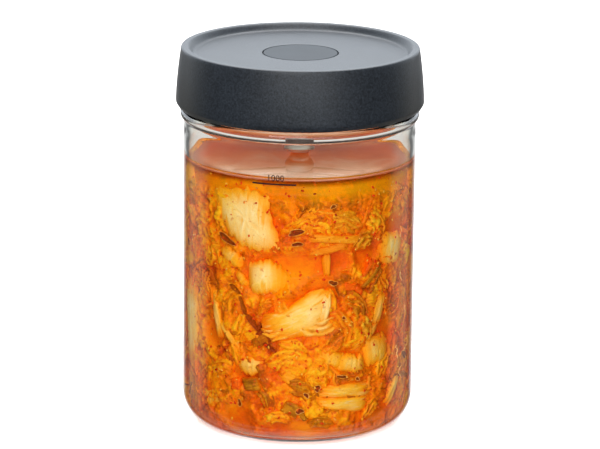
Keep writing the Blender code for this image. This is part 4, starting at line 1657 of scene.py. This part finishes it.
JAR_MIDDLE = Vector((0.0, 0.0, 0.09))
SOFT_BOXES = (
    SoftBox("key_box", -12, 30, 1.25, (0.7, 0.9), 7.2),
    SoftBox("fill_box", 18, 14, 1.3, (0.6, 0.6), 2.4),
    SoftBox("top_box", 180, 74, 1.6, (1.3, 2.2), 42.0),
    SoftBox("floor_box", 0, 78, 1.7, (1.8, 1.8), 33.0, "lit_floor"),
    SoftBox("neck_box_left", -40, 12, 1.0, (0.9, 0.9), 18.0, "under_cap"),
    SoftBox("neck_box_right", 32, 12, 1.0, (0.9, 0.9), 15.0, "under_cap"),
    SoftBox("neck_box_rear", 172, 12, 1.0, (0.9, 0.9), 12.0, "under_cap"),
    SoftBox("rear_box_left", 205, 28, 1.25, (0.7, 0.9), 5.0, "sunk_food"),
    SoftBox("rear_box_right", 150, 28, 1.25, (0.7, 0.9), 5.0, "sunk_food"))


@dataclass
class Studio:
    """The floor, the soft light and the camera at the photograph's angle."""

    distance: float = 1.7
    eye_height: float = 0.5413
    pitch: float = 14.79
    roll: float = 0.6
    aside: float = 0.0006
    focal_pixels: float = 3764.4
    frame_width: int = 600
    sensor: float = 36.0
    # What surfaces mirror, from the front (0) round to the back (1): at the jar's own level, above
    # it, and above it from inside the glass. The rise runs from straight down (0) to straight up (1).
    mirrored_low: Stops = ((0.0, "0a0a0a"), (0.60, "121212"), (0.71, "7c7a70"), (0.86, "807c72"),
                           (0.91, "404040"), (0.95, "484848"), (0.98, "a0a0a0"))
    mirrored_high: Stops = ((0.0, "a0a0a0"), (0.3, "505050"), (0.6, "7c8084"), (0.85, "e4ecf4"))
    mirrored_inside: Stops = ((0.0, "c0b8b0"), (0.45, "807870"), (0.7, "5a4a44"), (0.95, "7c665e"))
    rise: Stops = ((0.24, "181818"), (0.31, "000000"), (0.452, "000000"), (0.485, "ffffff"))
    mirror_strength: float = 2.4
    # The soft light that matte surfaces get from all round, and more of it from the floor.
    around: Stops = ((0.0, "dcdcdc"), (0.13, "c8c8c8"), (0.3, "363636"), (0.7, "363636"), (1.0, "dcdcdc"))
    floor_bounce: float = 2.3

    def build(self) -> None:
        """Build the stage, the lights and the camera."""
        self.floor()
        self.world()
        for name in ("lit_floor", "under_cap", "sunk_food"):
            bpy.data.collections.new(name)
        bpy.data.collections["lit_floor"].objects.link(bpy.data.objects["paper_floor"])
        for box in SOFT_BOXES:
            box.hang()
        self.camera()

    @staticmethod
    def floor() -> None:
        """A wide sheet of pale paper under the jar, kept out of its mirror images."""
        mesh = bpy.data.meshes.new("paper_floor")
        half = 3.0
        mesh.from_pydata([(-half, -half, 0), (half, -half, 0), (half, half, 0), (-half, half, 0)], [],
                         [(0, 1, 2, 3)])
        paper = link_piece("paper_floor", mesh, StudioPaper().material())
        paper.visible_diffuse = False
        paper.visible_glossy = False
        paper.visible_transmission = False

    def world(self) -> None:
        """A white room that mirrors dark in front and bright to the sides behind the jar."""
        world = bpy.data.worlds.new("white_room")
        bpy.context.scene.world = world
        world.use_nodes = True
        tree = world.node_tree
        tree.nodes.clear()
        towards = add_node(tree, "ShaderNodeTexCoord")
        split = add_node(tree, "ShaderNodeSeparateXYZ", None, {0: towards.outputs["Generated"]})
        flat = add_node(tree, "ShaderNodeCombineXYZ", None, {0: split.outputs[0], 1: split.outputs[1]})
        level = add_node(tree, "ShaderNodeVectorMath", {"operation": "NORMALIZE"}, {0: flat.outputs[0]})
        back = add_node(tree, "ShaderNodeSeparateXYZ", None, {0: level.outputs[0]})
        half = add_node(tree, "ShaderNodeMath", {"operation": "MULTIPLY_ADD"},
                        {0: back.outputs[1], 1: 0.5, 2: 0.5})
        low, high, inside, around = (
            add_node(tree, "ShaderNodeValToRGB", {"stops": stops}, {0: half.outputs[0]}).outputs[0]
            for stops in (self.mirrored_low, self.mirrored_high, self.mirrored_inside, self.around))
        path = add_node(tree, "ShaderNodeLightPath")
        upper = add_node(tree, "ShaderNodeMix", {"data_type": "RGBA"},
                         {0: path.outputs["Is Transmission Ray"], 6: high, 7: inside})
        tall = add_node(tree, "ShaderNodeMath", {"operation": "MULTIPLY_ADD"},
                        {0: split.outputs[2], 1: 0.5, 2: 0.5})
        rise = add_node(tree, "ShaderNodeValToRGB", {"stops": self.rise}, {0: tall.outputs[0]})
        mirrored = add_node(tree, "ShaderNodeMix", {"data_type": "RGBA"},
                            {0: rise.outputs[0], 6: low, 7: upper.outputs[2]})
        colour = add_node(tree, "ShaderNodeMix", {"data_type": "RGBA"},
                          {0: path.outputs["Is Glossy Ray"], 6: linear("ffffff"), 7: mirrored.outputs[2]})
        bounce = add_node(tree, "ShaderNodeMapRange", None,
                          {0: tall.outputs[0], 1: 0.15, 2: 0.45, 3: self.floor_bounce, 4: 1.0})
        lit = add_node(tree, "ShaderNodeMath", {"operation": "MULTIPLY"}, {0: around, 1: bounce.outputs[0]})
        soft = add_node(tree, "ShaderNodeMix", {"data_type": "FLOAT"},
                        {0: path.outputs["Is Camera Ray"], 2: lit.outputs[0], 3: 1.0})
        strength = add_node(tree, "ShaderNodeMix", {"data_type": "FLOAT"},
                            {0: path.outputs["Is Glossy Ray"], 2: soft.outputs[0], 3: self.mirror_strength})
        glow = add_node(tree, "ShaderNodeBackground", None,
                        {"Color": colour.outputs[2], "Strength": strength.outputs[0]})
        add_node(tree, "ShaderNodeOutputWorld", None, {0: glow.outputs[0]})

    def camera(self) -> None:
        """Set the camera in front of the jar, looking a little down."""
        data = bpy.data.cameras.new("studio_camera")
        data.sensor_width = self.sensor
        data.lens = self.focal_pixels / self.frame_width * self.sensor
        data.clip_start = 0.05
        data.clip_end = 20.0
        camera = bpy.data.objects.new("studio_camera", data)
        bpy.context.scene.collection.objects.link(camera)
        tilt = Matrix.Rotation(math.radians(90 - self.pitch), 4, "X")
        roll = Matrix.Rotation(math.radians(self.roll), 4, "Z")
        place = Matrix.Translation((self.aside, -self.distance, self.eye_height))
        camera.matrix_world = place @ tilt @ roll
        bpy.context.scene.camera = camera


def main() -> None:
    """Build the jar and its studio, and log each piece."""
    logging.basicConfig(level=logging.INFO, format="%(message)s")
    Studio().build()
    bpy.context.scene.view_settings.view_transform = "Standard"
    for part in (GlassJar(), Cap(), Valve(), Kimchi(), Brine()):
        for piece in part.build():
            LOG.info("%s: %d faces", piece.name, len(piece.data.polygons))


if __name__ == "__main__":
    main()
